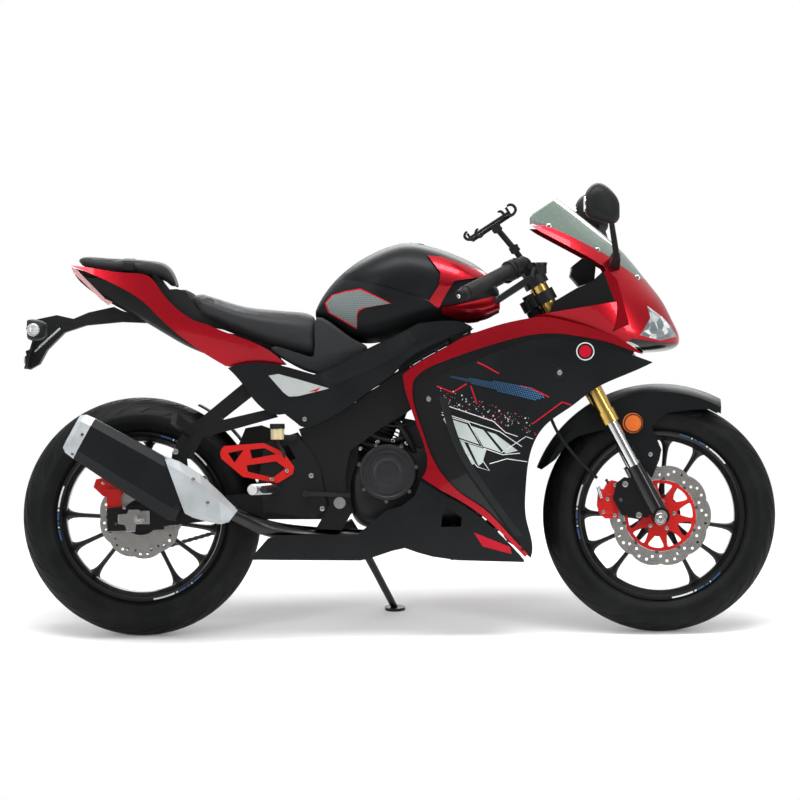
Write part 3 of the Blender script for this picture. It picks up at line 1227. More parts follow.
# front wheel's small parts: axle nut, fender bolts and reflector rims
metal("paleSteel", (0.72, 0.71, 0.69), 0.22, depth=0.05)
metal("darkSteel", (0.16, 0.16, 0.165), 0.35)
clearPlastic("cream", (0.62, 0.55, 0.30), 0.82, 0.22)
mouldedPlastic("redSwitch", (0.55, 0.02, 0.015), 0.35, gloss=0.5)
rubber("hoseRubber", (0.010, 0.010, 0.010), 0.55)
rubber("rubberCap", (0.012, 0.012, 0.012), 0.6)
castAlloy("engineCover", (0.022, 0.022, 0.024), 0.42, 0.3, 260.0)
sprayPaint("darkGloss", (0.004, 0.004, 0.004), 0.0, flake=0.0, coat=0.6)
ridgedLens("greyLens", (0.42, 0.43, 0.43), 4.0)
ridgedLens("pinkLens", (0.62, 0.34, 0.36), 4.5, 0.05)
frontEnd = {"nut": (657.2, 518.0), "fenderBolt": [(648.9, 454.0)], "reflector": (632.0, 423.0),
            "rim": [(-6.0, 21.0), (-1.0, 23.8), (1.5, 23.8), (2.2, 23.0), (1.6, 21.6), (-1.0, 20.6)]}


def outerSide(node, across, down, sideways=-1):
    place = seen(across, down)
    return surfaceAt(node, place[0], place[2], sideways)[0]


def nutAt(name, place, radius, high, body, finish, sideways, washer=1.35):
    # flanged hexagon nut with its washer and stud end, standing out from the place
    out = (0, sideways, 0)
    under = lathe([(-0.5, radius * washer), (1.6, radius * washer), (2.0, radius * washer - 0.5), (2.0, radius * 0.5)],
                  place, out, 40)
    hexagon = lathe([(1.8, 0), (1.8, radius), (high - 1.2, radius), (high, radius * 0.88), (high, 0)], place, out, 6)
    stud = lathe([(high - 0.5, radius * 0.55), (high + 2.2, radius * 0.55), (high + 3.0, radius * 0.45),
                  (high + 3.0, 0)], place, out, 24)
    return makePiece(name, gather([under, hexagon, stud]), body, finish, 30)


nutAt("front_axle_nut", outerSide("front_axle", *frontEnd["nut"]), 11.0, 7.0, "steering", "paleSteel", -1)
for sideways, tag in bothSides:
    screws("fender_bolts" + tag, "front_fender", frontEnd["fenderBolt"], "steering", "paleSteel", 6.0, 4.0, sideways)
for sideways, tag in bothSides:
    place = outerSide("reflectors", *frontEnd["reflector"], sideways)
    makePiece("reflector_rim" + tag, lathe(frontEnd["rim"], place, (0, sideways, 0), 60, True), "steering", "softBlack",
              40)
print("front wheel's small parts")

# bar controls
bars = {"inner": (950.0, 205.0, 930.0), "outer": (832.0, 335.0, 869.0), "grip": 16.5, "ribs": 19,
        "weight": [(0, 10.0), (0, 14.0), (2, 15.2), (15, 15.2), (16, 14.2), (17, 15.2), (22, 15.0), (24.5, 13.0),
                   (25, 7.6), (22.5, 7.4), (22.5, 0)],
        "shell": (23.5, 21.5, 17.0), "seam": (24.0, 22.0, 0.9), "rockerOut": 22.5,
        # each rocker's shift along the bar, its half sizes, and its finish on the right
        "rockers": ((-6.5, (6.2, 5.0, 4.0), "redSwitch"), (7.0, (5.0, 4.2, 4.5), "glossBlack"))}
cup = {"foot": np.array([1025.9, -172.3, 920.6]), "screws": ((-9.5, -9.5, 5.0), (9.5, 9.5, 5.0)),
       "lid": [(0.0, 0.0), (0.0, 18.6), (1.2, 19.6), (5.0, 19.6), (6.2, 18.8), (6.2, 15.0), (5.6, 14.4), (5.6, 0.0)],
       "window": [(0.0, 5.4), (1.2, 5.4), (1.6, 4.6), (1.6, 0.0)]}


def alongBar(share, sideways):
    # place on the bar's centre line and its direction outwards, on either side
    inner, outer = np.array(bars["inner"]), np.array(bars["outer"])
    mirror = np.array([1, sideways, 1])
    along = (outer - inner) / np.linalg.norm(outer - inner)
    return (inner + (outer - inner) * share) * mirror, along * mirror


def gripPieces(sideways, tag):
    # ribbed rubber sleeve with end collars, and a turned weight with a screw at the bar's end
    start, along = alongBar(0.0, sideways)
    end, _ = alongBar(1.0, sideways)
    length = np.linalg.norm(end - start)
    radius = bars["grip"]
    profile = [(2.0, radius - 1.0), (2.0, radius + 3.6), (4.0, radius + 4.4), (7.5, radius + 4.4), (9.5, radius + 1.2)]
    pitch = (length - 26) / bars["ribs"]
    for k in range(bars["ribs"]):
        low = 12 + k * pitch
        profile += [(low, radius + 0.6), (low + pitch * 0.18, radius + 1.6), (low + pitch * 0.72, radius + 1.6),
                    (low + pitch * 0.90, radius + 0.6)]
    profile += [(length - 12, radius + 2.4), (length - 6, radius + 2.6), (length - 4.5, radius - 1.0)]
    makePiece("grip_sleeve" + tag, lathe(profile, start, along, 48), "steering", "grip", 40)
    makePiece("bar_weight" + tag, lathe(bars["weight"], end - along * 3, along, 40), "steering", "softBlack", 35)
    boltSet("bar_weight_screw" + tag, "steering", "paleSteel", [end + along * 19.5], along, 6.0, 5.5)


def switchPieces(sideways, tag):
    # two clamped half shells with a seam, and rockers that face the rider
    at, along = alongBar(0.0, sideways)
    at = at - along * 21
    basis = frameAlong(along)
    makePiece("switch_shell" + tag, roundBlock(at, bars["shell"], basis, 0.55, 32, 0.22), "steering", "softBlack", 50)
    makePiece("switch_seam" + tag, roundBlock(at, bars["seam"], basis, 0.55, 32, 0.1), "steering", "glossBlack", 50)
    facing = np.array([-0.62, -sideways * 0.55, 0.56])
    facing -= along * (facing @ along)
    facing /= np.linalg.norm(facing)
    turned = np.stack([np.cross(facing, along), along, facing], -1)
    for k, (shift, half, finish) in enumerate(bars["rockers"]):
        rocker = roundBlock(at + facing * bars["rockerOut"] + along * shift, half, turned, 0.5, 20, 0.3)
        makePiece(f"switch_rocker{k + 1}{tag}", rocker, "steering", finish if sideways < 0 else "glossBlack", 50)


def reservoirPiece(tag):
    # fluid cup's lid with two screws and a sight window
    top = cup["foot"] + (0, 0, 23.0)
    makePiece("reservoir_lid" + tag, lathe(cup["lid"], top, (0, 0, 1), 48), "steering", "glossBlack", 35)
    places = [top + place for place in cup["screws"]]
    boltSet("reservoir_screws" + tag, "steering", "steel", places, (0, 0, 1), 3.0, 1.6)
    window = lathe(cup["window"], cup["foot"] + (-17.6, 0, 11), (-1, 0, 0), 24)
    makePiece("reservoir_window" + tag, window, "steering", "cream", 35)


for sideways, tag in bothSides:
    gripPieces(sideways, tag)
    switchPieces(sideways, tag)
reservoirPiece("_right")
print("bar controls")

# screws of the muffler and the rear set on the right: name, nodes under them, places, finish, radius and height
rearScrews = (
    ("muffler_cap_screws", "muffler_trim muffler", [(87.0, 434.0), (77.0, 453.0)], "darkSteel", 4.0, 2.5),
    ("shield_screws", "muffler_trim muffler", [(210.0, 501.0), (196.0, 478.0)], "paleSteel", 5.5, 3.2),
    ("hanger_bolt", "muffler", [(177.5, 451.0)], "paleSteel", 7.5, 5.0),
    ("guard_bolts", "foot_guards", [(287.5, 470.0), (272.5, 478.5)], "paleSteel", 5.0, 4.0),
    ("frame_bolts_right", "main_frame foot_brackets engine", [(311.5, 474.8), (322.1, 507.5)], "paleSteel", 6.5, 5.0))
adjuster = {"outline": [(119.5, 513.5), (128.5, 512.5), (130.0, 508.5), (141.0, 508.5), (143.5, 513.0), (147.0, 514.5),
                        (147.0, 522.0), (137.5, 523.5), (136.5, 530.5), (127.5, 530.5), (126.5, 524.0), (119.5, 523.0)],
            "at": (140.0, 517.5), "thick": 1.6, "nut": (9.5, 7.0), "bracket": [(125.5, 507.0), (104.5, 482.5)]}
flange = {"outline": [(488.0, 505.0), (497.0, 511.0), (524.0, 543.0), (521.0, 550.0), (505.0, 540.0)],
          "at": (512.0, 541.0), "behind": (9.0, 7.0)}
engineCover = {"at": (387.0, 471.7), "arcs": ((20, 100, 0.72), (130, 215, 0.72), (235, 300, 0.72), (150, 200, 0.60)),
               "ears": 7, "ear": [(-8.0, 6.6), (2.0, 6.6), (3.0, 5.8), (3.0, 0.0)], "earOut": 2.5}


def adjusterPieces(sideways, tag):
    # chain adjuster plate with the axle nut, at the swingarm's end
    place = outerSide("swingarm_bolts", *adjuster["at"], sideways)
    outer = place[1] + sideways * adjuster["thick"]
    makePiece("adjuster_plate" + tag, sheetOf(adjuster["outline"], 6.0, place[1] - sideways * 1.0, outer), "chassis",
              "paleSteel", 30)
    nutAt("rear_axle_nut" + tag, place + (0, sideways * adjuster["thick"], 0), *adjuster["nut"], "chassis", "paleSteel",
          sideways)


def seamBacking(sideways, tag):
    # dark flange behind the seam between the red edge and the belly pan
    out = abs(outerSide("belly_pan fairing_stripes side_fairings", *flange["at"], sideways)[1])
    sheet = sheetOf(flange["outline"], 8.0, *(sideways * (out - behind) for behind in flange["behind"]))
    makePiece("seam_flange" + tag, sheet, "chassis", "softBlack", 30)


def coverPiece(name, sideways, radius, turn):
    # round engine cover: raised rim, dished face, arc ribs, and ears with screws
    place, out = outerSide("engine", *engineCover["at"], sideways), (0, sideways, 0)
    parts = [lathe([(-3.0, radius), (2.0, radius), (4.5, radius - 1.6), (5.5, radius - 4.5), (5.0, radius - 8.0),
                    (2.6, radius - 10.5), (1.8, radius * 0.52), (4.2, radius * 0.46), (5.6, radius * 0.40),
                    (5.6, radius * 0.30), (4.8, radius * 0.27), (4.8, 0.0)], place, out, 96)]
    for start, end, share in engineCover["arcs"]:
        arc = around(place, radius * share, np.radians(np.linspace(start, end, 24) + turn), sideways * 2.6)
        parts.append(sweep(arc, 1.9, 1.6, 0.7, 10, up=(0, 1, 0)))
    makePiece(name, gather(parts), "chassis", "engineCover", 35)
    count = engineCover["ears"]
    angle = np.radians(np.arange(count) * 360 / count + turn)
    ears = around(place, radius + engineCover["earOut"], angle, sideways * 1.0)
    ear = lathe(engineCover["ear"], (0, 0, 0), out, 20)
    makePiece(name + "_ears", repeatParts(ear, ears, [np.eye(3)] * count), "chassis", "engineCover", 35)
    boltSet(name + "_screws", "chassis", "darkSteel", ears + (0, sideways * 2.5, 0), out, 4.2, 4.0)


for name, node, spots, finish, radius, high in rearScrews:
    screws(name, node, spots, "chassis", finish, radius, high)
for sideways, tag in bothSides:
    adjusterPieces(sideways, tag)
screws("calliper_bracket_screws", "swingarm rear_brake rear_disc", adjuster["bracket"], "chassis", "paleSteel", 4.0,
       3.0)
for sideways, tag in bothSides:
    seamBacking(sideways, tag)
coverPiece("clutch_cover", -1, 72.0, 10.0)
coverPiece("generator_cover", 1, 66.0, 40.0)
print("muffler, rear set and engine details")

# fuel tank: the solid's form with a facet sunk above a ledge on each side, and the filler cap
tank = {"from": 452.5, "to": 924.5, "stations": 120, "deep": 9.0,
        "centre": [(452, 824), (507, 850), (560, 858), (622, 868), (680, 882), (760, 890), (834, 882), (900, 864),
                   (925, 852)],
        "ledge": [(331, 279), (342.5, 279.5), (374, 284.5), (414, 297.5), (432, 303)],
        "upper": [(338, 278), (352.5, 273), (387, 259), (401, 257), (438, 274)],
        # points of the section under the ledge, across the facet and over it; rays from the centre line
        "columns": (44, 26, 24), "rays": 121, "fadeIn": (505, 560), "fadeOut": (690, 765)}
cap = {"at": (700.0, 0.0, 1300.0), "sink": 2.6, "screws": 6, "screwRadius": 29.2, "flap": (5.5, 9.0, 1.6),
       "rings": [(-4, 33.0), (0.6, 33.0), (1.4, 32.2), (1.6, 25.5), (0.4, 24.8), (0.4, 23.8), (2.2, 23.2), (3.1, 20.0),
                 (3.5, 0.0)]}


def tankPiece():
    # rays from a centre line meet the solid; rows of the grid follow two lines seen from the side, and the facet
    # between them is sunk: most just above the lower line, fading to nothing at the upper one
    xs = np.linspace(tank["from"] + 1.5, tank["to"] - 1.5, tank["stations"])
    xs = np.concatenate([[tank["from"] + 0.2], xs, [tank["to"] - 0.2]])
    heights = np.interp(xs, *np.array(tank["centre"], float).T)
    dense = np.radians(np.linspace(-90, 90, tank["rays"]))
    ledge, upper = seenOutline(tank["ledge"]), seenOutline(tank["upper"])
    under, across, over = tank["columns"]
    share = np.concatenate([np.full(under, -1.0), np.linspace(0, 1, across), np.full(over - 1, 2.0)])
    sink = np.where((share >= 0) & (share <= 1), np.clip(1 - share, 0, 1) ** 1.3, 0) * tank["deep"]
    half = []
    for x, z in zip(xs, heights):
        start = parkMatrix @ Vector((x, 0.0, z))
        radius = np.empty(len(dense))
        for j, a in enumerate(dense):
            way = parkTurn @ Vector((0, -math.cos(a), math.sin(a)))
            found, place, _, _ = nodes["fuel_tank"].ray_cast(start, way)
            radius[j] = (parkMatrix.inverted() @ place - Vector((x, 0, z))).length if found else 1.0
        level = z + radius * np.sin(dense)
        low = np.clip(np.interp(x, *ledge.T), level[0] + 8, level[-1] - 24)
        high = np.clip(np.interp(x, *upper.T), low + 12, level[-1] - 8)
        rising = np.maximum.accumulate(level) + np.arange(len(dense)) * 1e-6
        a, b, c = np.interp([low, low + 2.2, high], rising, dense)
        angle = np.concatenate([np.linspace(dense[0], a, under), np.linspace(b, c, across),
                                np.linspace(c, dense[-1], over)[1:]])
        fade = smoothStep(x, *tank["fadeIn"]) * (1 - smoothStep(x, *tank["fadeOut"]))
        r = np.interp(angle, dense, radius) - sink * fade
        half.append(np.stack([np.full(len(angle), x), -r * np.cos(angle), z + r * np.sin(angle)], -1))
    half = np.array(half)
    points = np.concatenate([half, half[:, ::-1][:, 1:-1] * (1, -1, 1)], axis=1)
    made = makePiece("tank_shell", (points, cappedFaces(*points.shape[:2])), "chassis", "satinBlack", 22)
    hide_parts("fuel_tank")


def capPiece():
    # round filler cap: flange with screws, sunk ring, domed lid and a key flap
    _, place, _, _ = nodes["fuel_tank"].ray_cast(parkMatrix @ Vector(cap["at"]), parkTurn @ Vector((0, 0, -1)))
    top = np.array(parkMatrix.inverted() @ place) - (0, 0, cap["sink"])
    makePiece("filler_cap", lathe(cap["rings"], top, (0.02, 0, 1), 72), "chassis", "darkSteel", 35)
    angle, radius = np.radians(np.arange(cap["screws"]) * 60 + 15), cap["screwRadius"]
    places = top + np.stack([radius * np.cos(angle), radius * np.sin(angle), np.full(cap["screws"], 1.2)], -1)
    boltSet("filler_screws", "chassis", "paleSteel", places, (0, 0, 1), 2.8, 1.6)
    flap = roundBlock(top + (0, 0, 3.4), cap["flap"], None, 0.6, 24, 0.2)
    makePiece("filler_key_flap", flap, "chassis", "steel", 40)


capPiece()
tankPiece()
print("tank and filler cap")

# side covers: raised facet, sunk gloss pocket, stripe and screw, and the slotted rail under the lower edge
cover = {"facet": ([(321, 374.5), (336, 367), (352, 359), (370, 350.5), (391, 340.5), (410, 331.5)],
                   [(323, 383.5), (345, 375.5), (366, 366.5), (385, 357), (400, 348.5), (414, 339)],
                   [(325, 388), (347, 380), (368, 371), (387, 361.5), (402.5, 352.5), (417, 342.5)]),
         "lifts": (0.1, 5.5, 0.1), "pocket": [(413, 345), (422, 333.5), (437, 331.0), (438.5, 334), (425, 343)],
         "stripe": [(297.5, 396.4), (322, 387.4), (326, 389), (318.5, 393)], "screw": [(305.4, 418.8)],
         "rail": [(334, 407.5), (362, 393.5), (400, 371.5), (421, 358.5), (445, 345.5), (466, 335.5)],
         "gap": 5.2, "railY": 112.0, "ties": [0.10, 0.22, 0.36, 0.50, 0.62, 0.73, 0.84, 0.94],
         "skirt": [(398, 371), (409, 359), (420, 350), (440, 336), (464, 327), (474, 329), (446, 344.5), (421, 358.5),
                   (402, 370.5)], "skirtY": (108.5, 112.5)}


def railPieces(sideways, tag):
    # two thin box rails with ties between them, filling the slot between the cover and the fairing
    path = smoothPath(seenOutline(cover["rail"]), 8)
    y = np.full(len(path), sideways * cover["railY"])
    upper = np.stack([path[:, 0], y, path[:, 1]], -1)
    step = np.gradient(upper, axis=0)
    step /= np.linalg.norm(step, axis=1)[:, None]
    down = np.stack([step[:, 2], 0 * y, -step[:, 0]], -1)
    down *= np.sign(-down[:, 2:3])
    under = upper + down * cover["gap"] * photo["scale"] * 0.62
    parts = [sweep(line, 3.2, 1.9, 0.45, 12, up=(0, 1, 0)) for line in (upper, under)]
    for share in cover["ties"]:
        k = int(share * (len(path) - 1))
        parts.append(sweep(np.linspace(upper[k], under[k], 4), 2.6, 3.4, 0.45, 10, up=(0, 1, 0)))
    makePiece("slotted_rail" + tag, gather(parts), "chassis", "glossBlack", 40)


for sideways, tag in bothSides:
    ridgeOn("cover_facet" + tag, "side_covers", cover["facet"], cover["lifts"], sideways, "chassis", "satinBlack", 60)
    patchOn("cover_pocket" + tag, "side_covers", [cover["pocket"]], sideways, "chassis", "glossBlack", 0.8,
            0.15)
    patchOn("insert_stripes" + tag, "side_inserts", [cover["stripe"]], sideways, "chassis", "printRed",
            0.5, 0.15)
    screws("cover_screws" + tag, "side_covers main_frame", cover["screw"], "chassis", "paleSteel", 6.0, 3.5, sideways)
    railPieces(sideways, tag)
for sideways, tag in bothSides:
    skirt = plate(seenOutline(cover["skirt"]), *sorted(sideways * y for y in cover["skirtY"]))
    makePiece("cover_skirt" + tag, skirt, "chassis", "satinBlack", 40)
print("side covers")

# engine bay: finned cylinder, throttle body, hoses and pipes in the opening over the covers
bay = {"axis": ((575.0, 0.0, 455.0), (640.0, 0.0, 610.0)), "fins": 11, "half": (62.0, 66.0), "thick": 2.0,
       "throttle": [(0, 0), (0, 25), (6, 27), (10, 24), (42, 24), (46, 28), (52, 28), (54, 23), (78, 21), (80, 0)],
       "throttleAt": (590.0, -40.0, 560.0), "throttleWay": (-0.94, 0, 0.34),
       "box": ((500.0, 0.0, 590.0), (52.0, 92.0, 34.0)),
       "hoses": (([(560, -96, 545), (585, -104, 520), (612, -102, 505), (648, -98, 498), (690, -92, 512)], 6.5),
                 ([(548, -88, 520), (570, -98, 498), (592, -100, 486), (618, -96, 476)], 4.5),
                 ([(640, -84, 560), (664, -98, 540), (684, -100, 508), (702, -92, 470)], 8.5),
                 ([(556, -90, 560), (600, -108, 548), (650, -108, 536), (700, -98, 544)], 3.2)),
       "screws": ((360.3, 448, -100), (377.5, 441.5, -104), (392.6, 440.5, -100), (406, 443, -98)),
       "shrouds": {"bay_shroud": [(403, 418), (418, 421), (427, 438), (431, 452), (424, 464), (404, 452), (398, 436)],
                   "rear_mount": [(341, 449), (350, 442), (358, 446), (359, 470), (357, 508), (350, 514), (341, 508),
                                  (338, 480)]}, "shroudY": (79.0, 84.0),
       "splash": [(246, 428), (262, 425), (284, 433), (303, 452), (300, 474), (262, 477), (243, 470), (236, 452)],
       "splashY": (-81.0, -77.5)}
fluid = {"foot": side(0.265, 0.503, -140.5), "body": [(1.0, 0), (1.0, 17.2), (30.0, 17.8), (30.0, 0)],
         "cap": [(28.0, 18.6), (28.0, 19.2), (39.5, 19.2), (41.0, 17.6), (41.0, 0), (28.0, 0)],
         "tab": (side(0.284, 0.508, -137.0), (24.5, 5.0, 7.6)),
         "hose": ((0, 0, 2), (4, 0, -14), (16, 4, -34), (18, 10, -60))}
peg = {"length": 114.0, "ribs": 14, "pitch": 7.4, "radius": 14.0, "groove": 12.6}


def cylinderPiece():
    # rounded thin plates stacked along the leaning axis round a plain barrel
    low, high = (np.array(p) for p in bay["axis"])
    along = (high - low) / np.linalg.norm(high - low)
    basis = np.stack([np.cross((0.0, 1.0, 0.0), along), np.array([0.0, 1.0, 0.0]), along], -1)
    wide, deep = bay["half"]
    parts = [roundBlock((low + high) / 2, (wide - 14, deep - 12, np.linalg.norm(high - low) / 2), basis, 0.5)]
    for k in range(bay["fins"]):
        centre = low + (high - low) * (0.06 + 0.60 * k / (bay["fins"] - 1))
        parts.append(roundBlock(centre, (wide, deep, bay["thick"]), basis, 0.32, 32, 0.3))
    parts.append(roundBlock(low + (high - low) * 0.86, (wide - 4, deep - 2, 24.0), basis, 0.45, 32, 0.15))
    makePiece("cylinder_fins", gather(parts), "chassis", "engineCover", 35)


def bayHoses():
    # throttle body across the bay, air box, and hoses in loose curves beside it
    body = lathe(bay["throttle"], bay["throttleAt"], bay["throttleWay"], 40)
    makePiece("throttle_body", body, "chassis", "aluminium", 35)
    makePiece("air_box", roundBlock(*bay["box"], None, 0.4, 32, 0.2), "chassis", "softBlack", 40)
    for k, (points, radius) in enumerate(bay["hoses"]):
        tube(f"bay_hose{k + 1}", points, radius, "chassis", "hoseRubber")
    boltSet("bay_screws", "chassis", "paleSteel", [seen(*spot) for spot in bay["screws"]], (0, -1, 0), 5.0, 5.0)


def cupPiece():
    # rear brake fluid cup: cream body, black screw cap and its black holder
    foot = fluid["foot"]
    makePiece("fluid_cup", lathe(fluid["body"], foot, (0, 0, 1), 40), "chassis", "cream", 40)
    makePiece("fluid_cup_cap", lathe(fluid["cap"], foot, (0, 0, 1), 40), "chassis", "softBlack", 30)
    makePiece("fluid_cup_holder", roundBlock(*fluid["tab"], None, 0.3, 24, 0.2), "chassis", "softBlack", 40)
    tube("fluid_cup_hose", [foot + step for step in fluid["hose"]], 4.5, "chassis", "hoseRubber")


def pegRibs(sideways, tag):
    # ribbed sleeve over the rider's peg
    length, radius, groove = peg["length"], peg["radius"], peg["groove"]
    profile = [(0, 0), (0, 13.0), (1.5, radius)]
    for low in np.arange(peg["ribs"]) * peg["pitch"]:
        profile += [(5 + low, radius), (6 + low, groove), (8.6 + low, groove), (9.6 + low, radius)]
    profile += [(length - 1.5, radius), (length, 12.5), (length, 0)]
    along = side(0.240, 0.378, sideways * 200.0) - side(0.258, 0.378, sideways * 140.0)
    sleeve = lathe(profile, side(0.250, 0.378, sideways * 150.0), along, 40)
    makePiece("peg_sleeve" + tag, sleeve, "chassis", "aluminium", 30)


cylinderPiece()
bayHoses()
for sideways, tag in bothSides:
    for name, outline in bay["shrouds"].items():
        sheet = sheetOf(outline, 9.0, *(sideways * y for y in bay["shroudY"]))
        makePiece(name + tag, sheet, "chassis", "engineCover", 35)
makePiece("splash_guard", sheetOf(bay["splash"], 9.0, *bay["splashY"]), "chassis", "softBlack", 35)
cupPiece()
for sideways, tag in bothSides:
    pegRibs(sideways, tag)
print("engine bay and fluid cup")


# nose: faceted lamp, dark chin, and inner panels that are red past a slanted line
def lampFacets(name, scale=46.0):
    # bright reflector of flat facets behind a clear cover: each cell has its own tone and tilt
    f = Finish(name)
    first, second, _ = f.split(f.other(f.cells(scale), 1))
    edge = f.cells(scale, feature="DISTANCE_TO_EDGE")
    tone = f.blend(f.ramp(first, 0.15, 0.75), (0.16, 0.19, 0.21), (0.86, 0.89, 0.90))
    tone = f.blend(f.ramp(edge, 0.0, 0.04), (0.30, 0.32, 0.33), tone)
    f.surface(Base_Color=tone, Metallic=0.55, Roughness=0.14 + second * 0.12, Coat_Weight=1.0, Coat_Roughness=0.02,
              Normal=f.bump(f.ramp(edge, 0.0, 0.3), 0.5, 0.003), Emission_Color=tone, Emission_Strength=0.12)


def panelFinish(name):
    # inner panels: black, and lacquered red past the slanted line where the nose begins
    f = Finish(name)
    x, y, z = f.split(f.upright())
    high, low = seen(603.5, 269.0), seen(615.5, 301.5)
    slope = (high[0] - low[0]) / (high[2] - low[2])
    edge = (z - low[2]).most(0.0) * slope + (low[0] - 6.0)
    red = (x - edge).above(0.0, 0.8) * z.above(float(seen(614, 334)[2]), 0.8)
    f.surface(Base_Color=f.blend(red, paint["gloss"], paint["red"]), Metallic=red * 0.8, Roughness=0.30 - red * 0.06,
              Coat_Weight=0.5, Coat_Roughness=0.04, Normal=f.bump(f.noise(140.0, 2.0), 0.05, 0.0006),
              Specular_IOR_Level=0.25)


lampFacets("lampFacets")
panelFinish("panelFinish")
dress("headlight", "lampFacets")
dress("chin_cowl", "darkGloss")
dress("inner_panels", "panelFinish")
print("nose")

# brakes
brakes = {"front": {"radius": 130.8, "inner": 92.4, "y": -62.0, "lobes": 10, "deep": 6.5, "hole": 3.7},
          "rear": {"radius": 107.8, "inner": 46.3, "y": -78.0, "lobes": 9, "deep": 5.5, "hole": 3.5},
          "rows": [(0.90, 0.0), (0.82, 0.18), (0.80, 0.5), (0.90, 0.72)]}
# the red spider in the front disc: windows as angle and share of its radius
spider = {"radius": 91.9, "hub": 24.0, "y": -62.0,
          "windows": ((0.0, [(-0.10, 0.52), (-0.24, 0.86), (-0.12, 0.905), (0.12, 0.905), (0.24, 0.86), (0.10, 0.52)]),
                      (0.5, [(-0.15, 0.64), (-0.25, 0.86), (-0.12, 0.905), (0.12, 0.905), (0.25, 0.86), (0.15, 0.64),
                             (0.0, 0.54)])),
          "seat": [(-59.5, 24.0), (-59.5, 45.0), (-47.0, 45.0), (-47.0, 24.0)],
          "button": [(0, 5.0), (0.8, 5.0), (1.2, 4.2), (1.2, 2.2), (0.6, 2.0), (0.6, 0)]}
calliper = {"outline": [(602, 489), (605, 483), (610, 479.7), (615.3, 481), (617.0, 491.6), (617.3, 502), (616.8, 510),
                        (615.6, 517.5), (603.4, 518), (597.5, 513.5), (595.5, 506.3), (597.0, 498.5)],
            "halves": ((-87.0, -67.5), (-57.0, -45.0)), "bridgeY": (-86.0, -46.0),
            "bridge": [(597.4, 488), (602.4, 489), (602.0, 513), (598.0, 512), (595.0, 505), (595.6, 497)],
            "pistons": [(608.5, 489.5), (607.0, 507.5)],
            "piston": [(-1, 15.5), (1.6, 15.5), (2.6, 14.5), (2.6, 11.0), (1.6, 10.4), (1.6, 0)],
            "screws": ((605.7, 498.4), (601.3, 511.2), (613.2, 484.5), (612.6, 514.5)),
            "nipple": [(0, 4.2), (5, 4.2), (6, 3.0), (9, 3.0), (9.6, 3.8), (12, 3.8), (13, 2.6), (13, 0)],
            "bracket": [(623.0, 483.5), (636.3, 514.3)], "sensor": [(618.5, 499.0)],
            "slots": ([(621, 494), (626, 491), (631, 503), (628, 509), (624, 505)],
                      [(615.8, 487), (618, 485), (619, 493), (616.5, 494)]),
            "ferrule": ((596.5, 486.5, -82), (598.2, 493.0, -86), (599.6, 498.0, -88))}


def piercedPlate(loops, low, high, y, centre):
    # flat plate from an outer loop and holes, (x, z) each: constrained triangles on both faces and a wall along
    # each loop
    points, edges = [], []
    for loop in loops:
        start = len(points)
        points += [Vector(p) for p in loop]
        edges += [(start + i, start + (i + 1) % len(loop)) for i in range(len(loop))]
    flat, _, triangles, origins, _, _ = delaunay_2d_cdt(points, edges, [], 1, 1e-6)
    found = {old: new for new, olds in enumerate(origins) for old in olds}
    flat = np.array([tuple(p) for p in flat])
    middle = flat[np.array(triangles)].mean(1)
    kept = sum(insideLoop(middle, loop).astype(int) for loop in loops) == 1
    triangles = [t for t, inside in zip(triangles, kept) if inside]
    count = len(flat)
    sheet = [np.stack([flat[:, 0], np.full(count, level), flat[:, 1]], -1) for level in (low, high)]
    faces = [list(t) for t in triangles] + [[i + count for i in t] for t in triangles]
    faces += [[found[a], found[b], found[b] + count, found[a] + count] for a, b in edges]
    return np.concatenate(sheet) + centre + (0, y, 0), faces


def ring(radius, count=12, x=0.0, z=0.0):
    angle = np.linspace(0, 2 * np.pi, count, endpoint=False)
    return np.stack([x + radius * np.cos(angle), z + radius * np.sin(angle)], -1)


def waveDisc(name, node, key, centre, body, finish):
    # radius falls to a notch between lobes: R - deep * (1 - |cos|^0.7); rows of round holes
    one = brakes[key]
    radius, inner = one["radius"], one["inner"]
    angle = np.linspace(0, 2 * np.pi, 400, endpoint=False)
    r = radius - one["deep"] * (1 - np.abs(np.cos(angle * one["lobes"] / 2)) ** 0.7)
    loops = [np.stack([r * np.cos(angle), r * np.sin(angle)], -1), ring(inner, 120)]
    for k in range(one["lobes"]):
        for share, turn in brakes["rows"]:
            at = (k + turn) / one["lobes"] * 2 * np.pi
            reach = radius * share if key == "front" else inner + (radius - inner) * (share - 0.3) * 1.32
            loops.append(ring(one["hole"], 12, reach * math.cos(at), reach * math.sin(at)))
    made = makePiece(name, piercedPlate(loops, -2.0, 2.0, one["y"], centre), body, finish, 25)
    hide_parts(node)


def carrierPiece():
    # red spider: ten windows in two shapes, raised seat round the hub, five screws and ten buttons
    radius = spider["radius"]
    loops = [ring(radius, 120), ring(spider["hub"], 48)]
    for k in range(5):
        for turn, window in spider["windows"]:
            middle = (k + turn) * 2 * np.pi / 5 + 0.16
            corners = [(radius * r * math.cos(middle + a), radius * r * math.sin(middle + a)) for a, r in window]
            loops.append(smoothPath(corners, 4, True))
    parts = [piercedPlate(loops, -3.0, 3.0, spider["y"], frontAxle)]
    parts.append(lathe(spider["seat"], frontAxle, count=60, closed=True))
    made = makePiece("brake_spider", gather(parts), "front_wheel", "redCast", 30)
    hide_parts("disc_carrier")
    places = around(frontAxle, 36, np.radians(9.0 + 72 * np.arange(5)), spider["y"] - 2.8)
    boltSet("spider_screws", "front_wheel", "paleSteel", places, (0, -1, 0), 5.5, 3.2)
    places = around(frontAxle, 94.5, np.radians(36.0 * np.arange(10) + 12.0), spider["y"] - 2.2)
    button = lathe(spider["button"], (0, 0, 0), (0, -1, 0), 16)
    makePiece("disc_buttons", repeatParts(button, places, [np.eye(3)] * 10), "front_wheel", "darkSteel", 30)


